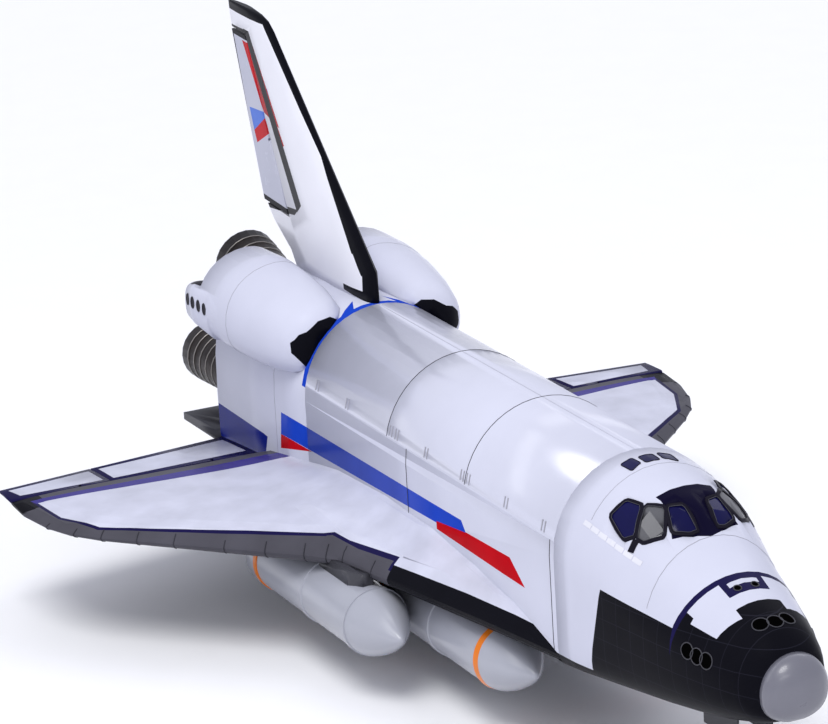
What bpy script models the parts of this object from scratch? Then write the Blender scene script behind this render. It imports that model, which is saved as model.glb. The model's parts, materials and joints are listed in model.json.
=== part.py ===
"""Winged space shuttle orbiter with strap-on boosters, parked on its landing gear.

Run with: blender --background --python part.py

Metres, +Z up, nose towards -Y, starboard towards -X. The origin is on the floor, in the plane of
symmetry, half way along the length. Places are written as a station (distance aft of the nose tip),
a span (distance out from the plane of symmetry) and a height above the elevons' lower edge.
"""

import math

import bmesh
import bpy
from mathutils import Matrix, Vector

# Driving dimensions
LENGTH = 37.21            # nose tip to the lip of the top engine
DATUM_HEIGHT = 3.73       # zero of the heights, above the floor
BELLY = -0.30             # flat belly, from that zero
GAP = 0.0003              # between pieces that touch
SIDES = {"right": -1, "left": 1}

# Fuselage
BODY_HALF_WIDTH = 2.69
BAY_AXIS_HEIGHT = 2.97
BAY_FRONT, BAY_REAR = 9.25, 26.34
BAY_RADIUS = 2.29
DOOR_THICKNESS = 0.16
SILL_HEIGHT = 3.48
BASE_STATION = 32.70
ATTACH_PADS = [
    # station, half length, half width of each raised pad under the belly
    (10.605, 0.45, 0.45),
    (18.605, 1.20, 0.90),
    (25.105, 0.60, 0.90),
]
PAD_RISE = 0.03

# Wing
LE_POINTS = [(2.62, 9.10), (4.72, 19.70), (4.95, 20.15), (10.10, 25.30), (10.75, 26.10),
             (11.20, 27.00), (11.50, 28.20), (11.60, 29.40)]   # (span, station)
HINGE_STATION = 29.50
TE_ROOT = (3.30, 32.26)   # (span, station)
TE_TIP = (11.60, 30.62)

# Landing gear
NOSE_AXLE_STATION, MAIN_AXLE_STATION = 4.30, 23.80
MAIN_AXLE_SPAN = 2.80
NOSE_TYRE = (0.41, 0.22)  # (radius, width)
MAIN_TYRE = (0.565, 0.36)


def place(station, span=0.0, height=0.0, side=1):
    """World position of a station, a span on one side, and a height."""
    return Vector((side * span, station - LENGTH / 2, height + DATUM_HEIGHT))


# Scene, materials and small shapes

def clear_scene():
    """Removes whatever the opening scene holds."""
    for obj in list(bpy.data.objects):
        bpy.data.objects.remove(obj, do_unlink=True)


def collection(name, hidden=False):
    """New collection in the scene."""
    made = bpy.data.collections.new(name)
    bpy.context.scene.collection.children.link(made)
    made.hide_render = hidden
    return made


MATERIALS = {
    # name: (colour, roughness, metallic)
    "white_tile": ((0.80, 0.80, 0.84), 0.22, 0.0),
    "black_tile": ((0.012, 0.012, 0.018), 0.35, 0.0),
    "grey_carbon": ((0.24, 0.25, 0.30), 0.38, 0.0),
    "window_glass": ((0.02, 0.02, 0.12), 0.10, 0.0),
    "nozzle_metal": ((0.06, 0.05, 0.05), 0.35, 0.9),
    "strut_metal": ((0.62, 0.63, 0.65), 0.30, 0.8),
    "tyre_rubber": ((0.03, 0.03, 0.03), 0.80, 0.0),
}


def material(name):
    """The finish of that name, made once."""
    found = bpy.data.materials.get(name)
    if found:
        return found
    colour, roughness, metallic = MATERIALS[name]
    made = bpy.data.materials.new(name)
    made.use_nodes = True
    shader = made.node_tree.nodes["Principled BSDF"]
    shader.inputs["Base Color"].default_value = (*colour, 1)
    shader.inputs["Roughness"].default_value = roughness
    shader.inputs["Metallic"].default_value = metallic
    made.diffuse_color = (*colour, 1)
    return made


def finish(name, bm, finish_name, group=None):
    """Object from a bmesh, with its faces turned outwards."""
    bmesh.ops.remove_doubles(bm, verts=bm.verts, dist=1e-5)
    bmesh.ops.recalc_face_normals(bm, faces=bm.faces)
    mesh = bpy.data.meshes.new(name)
    bm.to_mesh(mesh)
    bm.free()
    obj = bpy.data.objects.new(name, mesh)
    mesh.materials.append(material(finish_name))
    (group or PARTS).objects.link(obj)
    mesh.shade_smooth()
    mesh.set_sharp_from_angle(angle=math.radians(35))
    return obj


def loft(name, rings, finish_name, group=None):
    """Closed solid through rings of equal count, with flat ends. A one-point ring ends in a point."""
    bm = bmesh.new()
    rows = [[bm.verts.new(p) for p in ring] for ring in rings]
    for low, high in zip(rows, rows[1:]):
        count = max(len(low), len(high))
        for i in range(count):
            j = (i + 1) % count
            if len(low) == 1:
                bm.faces.new((low[0], high[j], high[i]))
            elif len(high) == 1:
                bm.faces.new((low[i], low[j], high[0]))
            else:
                # The diagonal is fixed, so a form and its cutter have the same facets.
                bm.faces.new((low[i], low[j], high[j]))
                bm.faces.new((low[i], high[j], high[i]))
    for row in (rows[0], rows[-1]):
        if len(row) > 2:
            bm.faces.new(row)
    return finish(name, bm, finish_name, group)


def box(name, low, high, finish_name, group=None):
    """Axis-aligned box between two world corners."""
    bm = bmesh.new()
    bmesh.ops.create_cube(bm, size=1.0)
    low, high = Vector(low), Vector(high)
    size = Vector([abs(h - l) for l, h in zip(low, high)])
    bmesh.ops.transform(bm, matrix=Matrix.Translation((low + high) / 2) @ Matrix.Diagonal((*size, 1)),
                        verts=bm.verts)
    return finish(name, bm, finish_name, group)


def rod(name, start, end, radius, finish_name, group=None, segments=16, end_radius=None):
    """Round bar between two world points."""
    start, end = Vector(start), Vector(end)
    along = end - start
    bm = bmesh.new()
    bmesh.ops.create_cone(bm, cap_ends=True, segments=segments, radius1=radius,
                          radius2=radius if end_radius is None else end_radius, depth=along.length)
    turn = along.to_track_quat("Z", "Y").to_matrix().to_4x4()
    bmesh.ops.transform(bm, matrix=Matrix.Translation((start + end) / 2) @ turn, verts=bm.verts)
    return finish(name, bm, finish_name, group)


def turned(name, profile, origin, axis, finish_name, steps=32):
    """Solid of revolution. The profile holds (distance along axis, radius), from the far end back."""
    mesh = bpy.data.meshes.new(name)
    closed = profile[0] == profile[-1]
    points = [(radius, 0.0, along) for along, radius in (profile[:-1] if closed else profile)]
    edges = [(i, i + 1) for i in range(len(points) - 1)]
    if closed:
        edges.append((len(points) - 1, 0))
    mesh.from_pydata(points, edges, [])
    obj = bpy.data.objects.new(name, mesh)
    PARTS.objects.link(obj)
    mesh.materials.append(material(finish_name))
    screw = obj.modifiers.new("turn", "SCREW")
    screw.axis = "Z"
    screw.steps = screw.render_steps = steps
    screw.use_merge_vertices = True
    screw.merge_threshold = 0.0001
    screw.use_smooth_shade = True
    obj.location = origin
    obj.rotation_mode = "QUATERNION"
    obj.rotation_quaternion = Vector(axis).to_track_quat("Z", "Y")
    return obj


def mesh_of(obj):
    """Bakes an object's modifiers into its mesh."""
    bpy.context.view_layer.update()
    graph = bpy.context.evaluated_depsgraph_get()
    mesh = bpy.data.meshes.new_from_object(obj.evaluated_get(graph))
    obj.modifiers.clear()
    old = obj.data
    obj.data = mesh
    bpy.data.meshes.remove(old)
    mesh.name = obj.name
    mesh.shade_smooth()
    mesh.set_sharp_from_angle(angle=math.radians(35))


def boolean(obj, other, operation):
    """Combines an object with another and bakes the result. The other object is then removed."""
    modifier = obj.modifiers.new("combine", "BOOLEAN")
    modifier.operation = operation
    modifier.object = other
    slot = obj.data.materials[0]
    mesh_of(obj)
    obj.data.materials.clear()
    obj.data.materials.append(slot)
    bm = bmesh.new()
    bm.from_mesh(obj.data)
    bmesh.ops.remove_doubles(bm, verts=bm.verts, dist=2e-5)
    bmesh.ops.dissolve_degenerate(bm, edges=bm.edges, dist=2e-5)
    for face in bm.faces:
        face.material_index = 0
    bm.to_mesh(obj.data)
    bm.free()
    bpy.data.objects.remove(other, do_unlink=True)
    return obj


def cut(obj, cutter):
    """Takes the cutter out of the object."""
    return boolean(obj, cutter, "DIFFERENCE")


def keep(obj, cutter):
    """Keeps only what lies inside the cutter."""
    return boolean(obj, cutter, "INTERSECT")


def join(obj, other):
    """Adds the other form to the object."""
    return boolean(obj, other, "UNION")


def set_origin(obj, point):
    """Moves an object's origin to a point, such as one on its hinge line."""
    obj.data.transform(Matrix.Translation(-point))
    obj.location = point


def move_to_parts(obj):
    """Moves an object from the cutters to the parts."""
    CUTTERS.objects.unlink(obj)
    PARTS.objects.link(obj)


def copy_of(obj, name):
    """Second object with a mesh of its own."""
    made = obj.copy()
    made.data = obj.data.copy()
    made.name = name
    PARTS.objects.link(made)
    return made


def prism(name, outline, low, high, side=1):
    """Cutter with a plan outline of (span, station), between two heights above the belly."""
    return loft(name, [[place(s, a, h, side) for a, s in outline] for h in (low, high)],
                "white_tile", CUTTERS)


# Fuselage

SECTIONS = [
    # station, half width, widest height, top, bottom, upper power, lower power
    (0.62, 1.02, 1.34, 2.38, 0.47, 2.00, 2.3),
    (1.40, 1.40, 1.45, 2.98, 0.17, 2.00, 2.4),
    (2.40, 1.72, 1.57, 3.30, -0.05, 2.00, 2.6),
    (3.60, 1.99, 1.72, 3.75, -0.19, 2.00, 3.0),
    (4.80, 2.17, 1.92, 4.28, -0.26, 2.00, 3.8),
    (5.50, 2.26, 2.08, 4.95, -0.28, 1.98, 4.4),
    (6.20, 2.37, 2.25, 5.38, BELLY, 2.00, 5.0),
    (7.40, 2.54, 2.60, 5.58, BELLY, 2.02, 7.0),
    (8.40, 2.65, 2.85, 5.64, BELLY, 2.00, 10.0),
    (9.25, 2.69, 2.97, 5.66, BELLY, 2.00, 14.0),
]
RING_POINTS = 36


def power_point(angle, power):
    """Point of a rounded-square curve at an angle."""
    c, s = math.cos(angle), math.sin(angle)
    return (math.copysign(abs(c) ** (2 / power), c), math.copysign(abs(s) ** (2 / power), s))


def section_ring(station, half_width, middle, top, bottom, upper, lower, count=RING_POINTS):
    """Closed cross-section ring at a station: two half ovals that meet at the widest height."""
    ring = []
    for i in range(count):
        angle = 2 * math.pi * i / count
        up = math.sin(angle) >= 0
        x, z = power_point(angle, upper if up else lower)
        reach = top - middle if up else middle - bottom
        if not up:
            z = max(-1.0, z * 1.012)   # the belly is flat, with rounded corners
        ring.append(place(station, half_width * x, middle + reach * z))
    return ring


def build_nose_cap():
    """Rounded carbon cap ahead of the first fuselage section."""
    first = SECTIONS[0]
    rings = [[place(0, 0, (first[2] + first[3] + first[4]) / 3)]]
    for share in (0.06, 0.2, 0.45, 0.75, 1.0):
        size = math.sqrt(1 - (1 - share) ** 2.2)
        middle = first[2] * size + 1.42 * (1 - size)
        rings.append(section_ring((first[0] - GAP) * share, first[1] * size, middle,
                                  middle + (first[3] - first[2]) * size,
                                  middle - (first[2] - first[4]) * size, first[5], first[6]))
    loft("nose_cap", rings, "grey_carbon")


WINDOWS = {
    # name: corners of the pane as (station, span, height), in order round it
    "front": [(5.95, 0.76, 5.06), (5.77, 0.37, 5.08), (5.12, 0.32, 4.55), (5.13, 0.55, 4.52),
              (5.36, 0.93, 4.55)],
    "middle": [(6.44, 1.17, 5.03), (5.98, 0.84, 5.04), (5.44, 1.18, 4.46), (5.79, 1.60, 4.27),
               (6.02, 1.67, 4.34)],
    "side": [(7.27, 1.83, 4.62), (7.12, 1.40, 5.02), (6.56, 1.25, 5.01), (6.13, 1.71, 4.37),
             (6.42, 1.90, 4.23)],
}
WINDOW_DEPTH = 0.12


def pane_form(name, corners, side, grow, group=None):
    """Prism through a window, square to its mean plane, from its depth inside to well outside."""
    points = [place(*corner, side) for corner in corners]
    centre = sum(points, Vector()) / len(points)
    normal = Vector()
    for here, after in zip(points, points[1:] + points[:1]):
        normal += (here - centre).cross(after - centre)
    normal.normalize()
    if normal.z < 0:
        normal = -normal
    flat = []
    for point in points:
        reach = point - centre
        reach -= normal * reach.dot(normal)
        flat.append(centre + reach + reach.normalized() * grow)
    return loft(name, [[p + normal * along for p in flat] for along in (-WINDOW_DEPTH - grow, 0.5)],
                "window_glass", group)


def build_forward_fuselage():
    """Nose section, with six window panes let into it."""
    body = loft("forward_fuselage", [section_ring(*row) for row in SECTIONS], "white_tile")
    whole = body.data.copy()
    for label, corners in WINDOWS.items():
        for name, side in SIDES.items():
            pane = pane_form(f"window_{label}_{name}", corners, side, 0.0)
            form = bpy.data.objects.new("form", whole.copy())
            CUTTERS.objects.link(form)
            keep(pane, form)
            cut(body, pane_form("opening", corners, side, GAP, CUTTERS))


def build_mid_fuselage():
    """Trough under the payload bay doors, with the bay cut out and raised pads under the belly."""
    last = SECTIONS[-1]
    body = loft("mid_fuselage", [section_ring(s, *last[1:]) for s in (BAY_FRONT + GAP, BAY_REAR - GAP)],
                "white_tile")
    # Everything above the sills belongs to the doors.
    cut(body, box("above_sill", place(BAY_FRONT - 1, -4, SILL_HEIGHT), place(BAY_REAR + 1, 4, 8),
                      "white_tile", CUTTERS))
    bay = []
    steps = 16
    for i in range(steps + 1):
        angle = math.pi + math.pi * i / steps
        bay.append((BAY_RADIUS * math.cos(angle), BAY_AXIS_HEIGHT + BAY_RADIUS * math.sin(angle)))
    bay += [(BAY_RADIUS, SILL_HEIGHT + 0.5), (-BAY_RADIUS, SILL_HEIGHT + 0.5)]
    cut(body, loft("bay_space", [[place(s, x, z) for x, z in bay]
                                     for s in (BAY_FRONT - 0.5, BAY_REAR + 0.5)], "white_tile", CUTTERS))
    for station, half_length, half_width in ATTACH_PADS:
        join(body, box("pad", place(station - half_length, -half_width, BELLY - PAD_RISE),
                       place(station + half_length, half_width, BELLY + 0.10), "white_tile", CUTTERS))


DOOR_HINGE_OUT = 0.03      # hinge line outboard of the door's lower edge


def build_bay_doors():
    """Two curved door halves that meet at the top, each hinged along its lower edge."""
    steps = 12
    start = math.asin((SILL_HEIGHT + GAP - BAY_AXIS_HEIGHT) / BODY_HALF_WIDTH)
    for name, side in SIDES.items():
        outer, inner = [], []
        low = SILL_HEIGHT + GAP - BAY_AXIS_HEIGHT
        inner_start = math.asin(low / (BODY_HALF_WIDTH - DOOR_THICKNESS))
        for i in range(steps + 1):
            t = i / steps
            angle = start + (math.pi / 2 - start) * t
            outer.append((max(BODY_HALF_WIDTH * math.cos(angle), 0.006), BODY_HALF_WIDTH * math.sin(angle)))
            angle = inner_start + (math.pi / 2 - inner_start) * t
            radius = BODY_HALF_WIDTH - DOOR_THICKNESS
            inner.append((max(radius * math.cos(angle), 0.006), radius * math.sin(angle)))
        outline = outer + inner[::-1]
        door = loft(f"bay_door_{name}", [[place(s, x, BAY_AXIS_HEIGHT + z, side) for x, z in outline]
                                         for s in (BAY_FRONT + 0.012, BAY_REAR - 0.012)], "white_tile")
        edge = outer[0][0] + DOOR_HINGE_OUT
        set_origin(door, place((BAY_FRONT + BAY_REAR) / 2, edge, SILL_HEIGHT, side))


AFT_SECTIONS = [
    # station, half width, widest height, top, bottom, upper power, lower power
    (26.34, 2.69, 2.97, 5.66, BELLY, 2.00, 14.0),
    (28.00, 2.70, 2.80, 5.66, -0.28, 2.10, 14.0),
    (29.80, 2.74, 2.20, 5.62, -0.22, 2.60, 14.0),
    (32.70, 3.06, 1.60, 5.40, -0.10, 3.40, 14.0),
]


def body_cutter(front, rear, grow=GAP):
    """The fuselage's outer form, swollen by a gap, to trim what meets it."""
    rows = [SECTIONS[-3], SECTIONS[-2], SECTIONS[-1]] + AFT_SECTIONS
    rings = []
    for s, half, middle, top, bottom, upper, lower in rows:
        if front <= s <= rear:
            end = s + grow if s == BASE_STATION else s
            rings.append(section_ring(end, half + grow, middle, top + grow, bottom - grow, upper, lower))
    return loft("body_form", rings, "white_tile", CUTTERS)


def build_aft_fuselage():
    """Engine section behind the bay, wider at its base."""
    rows = [(AFT_SECTIONS[0][0] + GAP, *AFT_SECTIONS[0][1:])] + AFT_SECTIONS[1:]
    return loft("aft_fuselage", [section_ring(*row) for row in rows], "white_tile")


# Wing

def te_station(span):
    """Station of the trailing edge at a span."""
    share = (span - TE_ROOT[0]) / (TE_TIP[0] - TE_ROOT[0])
    return TE_ROOT[1] + share * (TE_TIP[1] - TE_ROOT[1])


def le_station(span):
    """Station of the leading edge at a span."""
    if span < LE_POINTS[0][0]:
        return LE_POINTS[0][1] - (LE_POINTS[0][0] - span) * 5.05
    for (a0, s0), (a1, s1) in zip(LE_POINTS, LE_POINTS[1:]):
        if span <= a1:
            return s0 + (s1 - s0) * (span - a0) / (a1 - a0)
    return LE_POINTS[-1][1]


def edge_distance(span, station):
    """Distance in plan from the leading edge line."""
    best = 99.0
    ahead = (LE_POINTS[0][0] - 0.594, LE_POINTS[0][1] - 3.0)
    line = [ahead] + LE_POINTS + [(LE_POINTS[-1][0], 34.0)]
    here = Vector((span, station))
    for start, end in zip(line, line[1:]):
        start, end = Vector(start), Vector(end)
        along = end - start
        t = max(0.0, min(1.0, (here - start).dot(along) / along.length_squared))
        best = min(best, (here - start - along * t).length)
    return best


def rounding(distance, radius):
    """Share of full height at a distance in from a rounded edge."""
    t = min(1.0, distance / radius)
    return math.sqrt(max(0.0, 1 - (1 - t) ** 2))


ROOT_HEIGHTS = [(9.0, 0.85), (9.94, 0.92), (13.3, 1.29), (18.6, 1.64), (23.7, 1.42), (29.0, 0.52),
                (29.6, 0.48)]   # (station, upper surface at the fuselage side)


def lookup(table, x):
    """Value between the rows of a table of pairs."""
    for (x0, y0), (x1, y1) in zip(table, table[1:]):
        if x <= x1:
            return y0 + (y1 - y0) * max(0.0, (x - x0) / (x1 - x0))
    return table[-1][1]


def wing_surface(span, station):
    """(lower, upper) height of the wing at a point in plan."""
    out = max(0.0, span - 2.6) / 9.0
    ahead = max(0.0, HINGE_STATION - station)
    deep = min(1.0, ahead / 4.0)
    drop = -BELLY * deep * (2 - deep)
    lower = 0.40 * out - drop
    hinge = 0.50 - 0.36 * out
    to_hinge = min(1.0, ahead / 9.5)
    panel = hinge + (1.00 - 0.74 * out - hinge) * math.sin(math.pi * to_hinge * 0.62)
    root = lookup(ROOT_HEIGHTS, station)
    fade = max(0.0, 1 - (span - 2.6) / 2.4)
    thickness = panel + (root - panel) * fade * fade + drop
    distance = edge_distance(span, station)
    rise = rounding(distance, 0.16 + 0.42 * min(thickness, 0.9))
    swell = rounding(distance, 2.4)
    upper = lower + thickness * (0.42 + 0.58 * swell)
    middle = lower + thickness * 0.30
    return middle - (middle - lower) * rise, middle + (upper - middle) * rise


def distance_station(span, distance):
    """Station behind the leading edge where the plan distance from it reaches a value."""
    low, high = le_station(span), HINGE_STATION + 3
    for _ in range(30):
        mid = (low + high) / 2
        if edge_distance(span, mid) < distance:
            low = mid
        else:
            high = mid
    return (low + high) / 2


def hinge_radius(span):
    """Half the thickness of the elevons at their hinge, at a span."""
    return (0.50 - 0.36 * max(0.0, span - 2.6) / 9.0) / 2


def hinge_point(span, side):
    """Point on the elevon hinge line."""
    out = (span - 2.6) / 9.0
    return place(HINGE_STATION, span, 0.25 + 0.22 * out, side)


WING_SPANS = [2.55, 2.85, 3.3, 3.8, 4.3, 4.72, 5.4, 6.5, 8.0, 9.3, 10.1, 10.75, 11.2, 11.5]
EDGE_ROWS = [0.0, 0.03, 0.10, 0.24, 0.50, 0.95]


def wing_ring(span, side):
    """Section of the wing at a span, from the leading edge to the elevon hinge, top then bottom."""
    rear = HINGE_STATION - 0.62 * hinge_radius(span)
    front = le_station(span)
    reach = distance_station(span, EDGE_ROWS[-1])
    squeeze = min(1.0, (rear - 0.25 - front) / (reach - front))
    stations = [front + (distance_station(span, d) - front) * squeeze if d else front
                for d in EDGE_ROWS]
    last = stations[-1]
    stations += [last + (rear - last) * share for share in (0.2, 0.42, 0.65, 0.85, 1.0)]
    upper = [place(s, span, wing_surface(span, s)[1], side) for s in stations]
    lower = [place(s, span, wing_surface(span, s)[0], side) for s in stations[1:]]
    return upper + lower[::-1]


EDGE_STRIP = [(11.30, 30.2), (11.12, 29.30), (10.92, 28.60), (10.34, 26.85), (8.88, 25.10),
              (6.72, 23.10), (4.20, 20.75), (3.75, 18.60), (3.62, 17.20), (5.00, 17.20),
              (12.50, 23.00), (12.50, 30.20)]   # (span, station) round the grey edge panels


def build_wings():
    """Wings with a cove for the elevons and a carbon strip along each leading edge."""
    for name, side in SIDES.items():
        wing = loft(f"wing_{name}", [wing_ring(a, side) for a in WING_SPANS], "white_tile")
        cut(wing, body_cutter(7.0, 33.0))
        # Cove for the round noses of the elevons.
        inner, outer = hinge_point(1.6, side), hinge_point(12.6, side)
        cut(wing, rod("cove", inner, outer, hinge_radius(2.6) + 0.054, "white_tile", CUTTERS, 48,
                      end_radius=hinge_radius(12.6) + 0.014))
        edge = copy_of(wing, f"leading_edge_{name}")
        edge.data.materials.clear()
        edge.data.materials.append(material("grey_carbon"))
        keep(edge, prism("strip", EDGE_STRIP, -2, 3, side))
        cut(wing, prism("strip", offset_outline(EDGE_STRIP, GAP * 1.5), -2, 3, side))


def offset_outline(points, amount):
    """Plan outline moved outwards by an amount."""
    area = sum(a[0] * b[1] - b[0] * a[1] for a, b in zip(points, points[1:] + points[:1]))
    turn = 1 if area > 0 else -1
    moved = []
    for i, point in enumerate(points):
        before = Vector(points[i - 1])
        after = Vector(points[(i + 1) % len(points)])
        here = Vector(point)
        one, two = (here - before).normalized(), (after - here).normalized()
        n1, n2 = Vector((one.y, -one.x)) * turn, Vector((two.y, -two.x)) * turn
        middle = (n1 + n2).normalized()
        moved.append(tuple(here + middle * amount / max(0.3, middle.dot(n1))))
    return moved


ELEVONS = [
    # name, inner span, outer span
    ("inboard_elevon", 3.16, 8.13),
    ("outboard_elevon", 8.17, 11.48),
]


def elevon_ring(span, side, front=1.0):
    """Section across an elevon, square to its hinge line, which runs through the round nose."""
    radius = hinge_radius(span)
    centre = hinge_point(span, side)
    along = (hinge_point(9, side) - hinge_point(3, side)).normalized()
    aft = Vector((0, 1, 0))
    up = along.cross(aft) * side
    if up.z < 0:
        up = -up
    chord = te_station(span) - HINGE_STATION
    drop = 0.05 * (1 - (span - 3) / 9)
    points = []
    for i in range(11):
        angle = math.pi / 2 + math.pi * i / 10
        points.append((radius * math.cos(angle), radius * math.sin(angle)))
    points.append((chord * 0.6, -radius * 0.42 - drop * 0.6))
    points.append((chord, -0.025 - drop))
    points.append((chord, 0.025 - drop))
    points.append((chord * 0.6, radius * 0.42 - drop * 0.6 + 0.02))
    return [centre + aft * y + up * z for y, z in points]


def hinge_lug(fixed, moving, centre, axis, reach_towards, slot_radius, lug_radius, width, reach):
    """Slot in the moving piece round its hinge line, with a lug of the fixed piece inside it."""
    axis = Vector(axis).normalized()
    half = axis * width / 2
    spare = axis * GAP
    cut(moving, rod("slot", centre - half - spare, centre + half + spare, slot_radius, "white_tile",
                    CUTTERS, 20))
    lug = rod("lug", centre - half, centre + half, lug_radius, "white_tile", CUTTERS, 12)
    towards = Vector(reach_towards).normalized()
    across = axis.cross(towards).normalized()
    bm = bmesh.new()
    bmesh.ops.create_cube(bm, size=1.0)
    frame = Matrix((axis, towards, across)).transposed().to_4x4()
    bmesh.ops.transform(bm, matrix=Matrix.Translation(centre + towards * reach / 2) @ frame
                        @ Matrix.Diagonal((width * 0.86, reach, lug_radius * 1.2, 1)), verts=bm.verts)
    arm = finish("arm", bm, "white_tile", CUTTERS)
    join(lug, arm)
    join(fixed, lug)


def build_elevons():
    """Two elevons a side, each carried by lugs on the wing."""
    for name, side in SIDES.items():
        wing = bpy.data.objects[f"wing_{name}"]
        along = hinge_point(9, side) - hinge_point(3, side)
        for part, inner, outer in ELEVONS:
            middle = (inner + outer) / 2
            piece = loft(f"{part}_{name}", [elevon_ring(a, side) for a in (inner, outer)], "white_tile")
            spot = inner + (outer - inner) * 0.3
            radius = hinge_radius(spot)
            hinge_lug(wing, piece, hinge_point(spot, side), along, (0, -1, 0), radius + 0.05,
                      radius * 0.6, 0.10, radius + 0.18)
            set_origin(piece, hinge_point(middle, side))


# Fin and rudder

FIN_FRONT = [(5.10, 26.36), (6.64, 26.36), (9.96, 30.00), (13.00, 33.33), (13.25, 33.72),
             (13.38, 34.25), (13.45, 35.00)]   # (height, station)
FIN_REAR = [(5.10, 32.20), (5.59, 32.50), (6.23, 33.21), (6.94, 34.80), (7.23, 34.86),
            (12.41, 36.74), (13.45, 36.90)]
FIN_ROWS = [5.10, 5.90, 6.64, 7.40, 9.96, 12.0, 13.0, 13.25, 13.38, 13.45]
FIN_SHAPE = [(0.0, 0.0), (0.015, 0.30), (0.06, 0.62), (0.2, 0.92), (0.42, 1.0), (0.75, 0.72), (1.0, 0.26)]
RUDDER_LOW, RUDDER_HIGH = (7.10, 32.63), (12.55, 35.49)   # (height, station) of the hinge line


def fin_half(height):
    """Half the thickness of the fin at a height."""
    return 0.34 - 0.20 * (height - 5.1) / 8.4


def fin_width(height, station):
    """Half the thickness of the fin at a height and a station."""
    front, rear = lookup(FIN_FRONT, height), lookup(FIN_REAR, height)
    return fin_half(height) * lookup(FIN_SHAPE, (station - front) / (rear - front))


def rudder_hinge(height):
    """Station of the rudder hinge line at a height."""
    share = (height - RUDDER_LOW[0]) / (RUDDER_HIGH[0] - RUDDER_LOW[0])
    return RUDDER_LOW[1] + share * (RUDDER_HIGH[1] - RUDDER_LOW[1])


def fin_ring(height):
    """Level cross-section of the fin."""
    front, rear = lookup(FIN_FRONT, height), lookup(FIN_REAR, height)
    half = fin_half(height)
    right = [place(front + (rear - front) * u, half * w, height) for u, w in FIN_SHAPE]
    left = [place(front + (rear - front) * u, -half * w, height) for u, w in FIN_SHAPE[1:]]
    return right + left[::-1]


def build_fin():
    """Fin, and the rudder let into its rear edge."""
    fin = loft("fin", [fin_ring(h) for h in FIN_ROWS], "white_tile")
    low, high = RUDDER_LOW[0], RUDDER_HIGH[0]
    slant = math.cos(math.atan2(RUDDER_HIGH[1] - RUDDER_LOW[1], high - low))
    lips = []
    for height in (low - 0.03, high + 0.03):
        width = fin_width(height, rudder_hinge(height))
        lips.append((height, rudder_hinge(height) - 0.56 * width / slant))
    outline = [(lips[0][1], low - 0.03), (38.5, low - 0.03), (38.5, high + 0.03), (lips[1][1], high + 0.03)]
    cut(fin, loft("rudder_space", [[place(s, a, h) for s, h in outline] for a in (-1, 1)], "white_tile",
                  CUTTERS))
    ends = []
    for height in (low - 0.03, high + 0.03):
        ends.append((place(rudder_hinge(height), 0, height), fin_width(height, rudder_hinge(height))))
    cove = cone_between("cove", ends[0][0], ends[1][0], ends[0][1] + 0.015, ends[1][1] + 0.015,
                        low - 0.03, high + 0.03)
    cut(fin, cove)
    cut(fin, body_cutter(26.0, 33.0))
    rings = []
    for height in (low + 0.05, high - 0.05):
        hinge = rudder_hinge(height)
        width = fin_width(height, hinge)
        rear = lookup(FIN_REAR, height)
        points = []
        for i in range(11):
            angle = math.pi / 2 + math.pi * i / 10
            points.append((hinge + width / slant * math.cos(angle), width * math.sin(angle)))
        points += [(rear, -0.26 * fin_half(height)), (rear, 0.26 * fin_half(height))]
        rings.append([place(s, a, height) for s, a in points])
    rudder = loft("rudder", rings, "white_tile")
    middle = 9.4
    width = fin_width(middle, rudder_hinge(middle))
    axis = place(rudder_hinge(high), 0, high) - place(rudder_hinge(low), 0, low)
    square = axis.cross(Vector((1, 0, 0)))
    if square.y > 0:
        square = -square
    hinge_lug(fin, rudder, place(rudder_hinge(middle), 0, middle), axis, square, width + 0.05,
              width * 0.6, 0.10, width + 0.15)
    set_origin(rudder, place(rudder_hinge(9.8), 0, 9.8))


def cone_between(name, start, end, start_radius, end_radius, low, high):
    """Leaning cone with level ends, whose section square to its axis is round."""
    slant = (end - start).normalized().z
    rings = []
    for point, radius in ((start, start_radius), (end, end_radius)):
        ring = []
        for i in range(32):
            angle = 2 * math.pi * i / 32
            ring.append(point + Vector((radius * math.cos(angle), radius / slant * math.sin(angle), 0)))
        rings.append(ring)
    return loft(name, rings, "white_tile", CUTTERS)


# Rear pods, engines and body flap

POD_SECTIONS = [
    # station, centre span, centre height, half width, half height
    (26.45, 2.00, 4.70, 0.45, 0.50),
    (26.62, 2.00, 4.73, 0.85, 0.90),
    (27.10, 2.02, 4.78, 1.12, 1.12),
    (28.00, 2.08, 4.84, 1.30, 1.28),
    (29.20, 2.16, 4.92, 1.42, 1.38),
    (30.60, 2.22, 5.00, 1.48, 1.42),
    (32.30, 2.26, 5.00, 1.42, 1.38),
]
POD_SLOPE = 0.22          # each section falls away outboard


def oval(station, span, height, half_width, half_height, side, power=2.2, slope=0.0, count=28):
    """Rounded-square cross-section ring, tilted by a slope."""
    ring = []
    for i in range(count):
        x, z = power_point(2 * math.pi * i / count, power)
        ring.append(place(station, span + half_width * x, height + half_height * z - slope * half_width * x,
                          side))
    return ring


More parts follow.
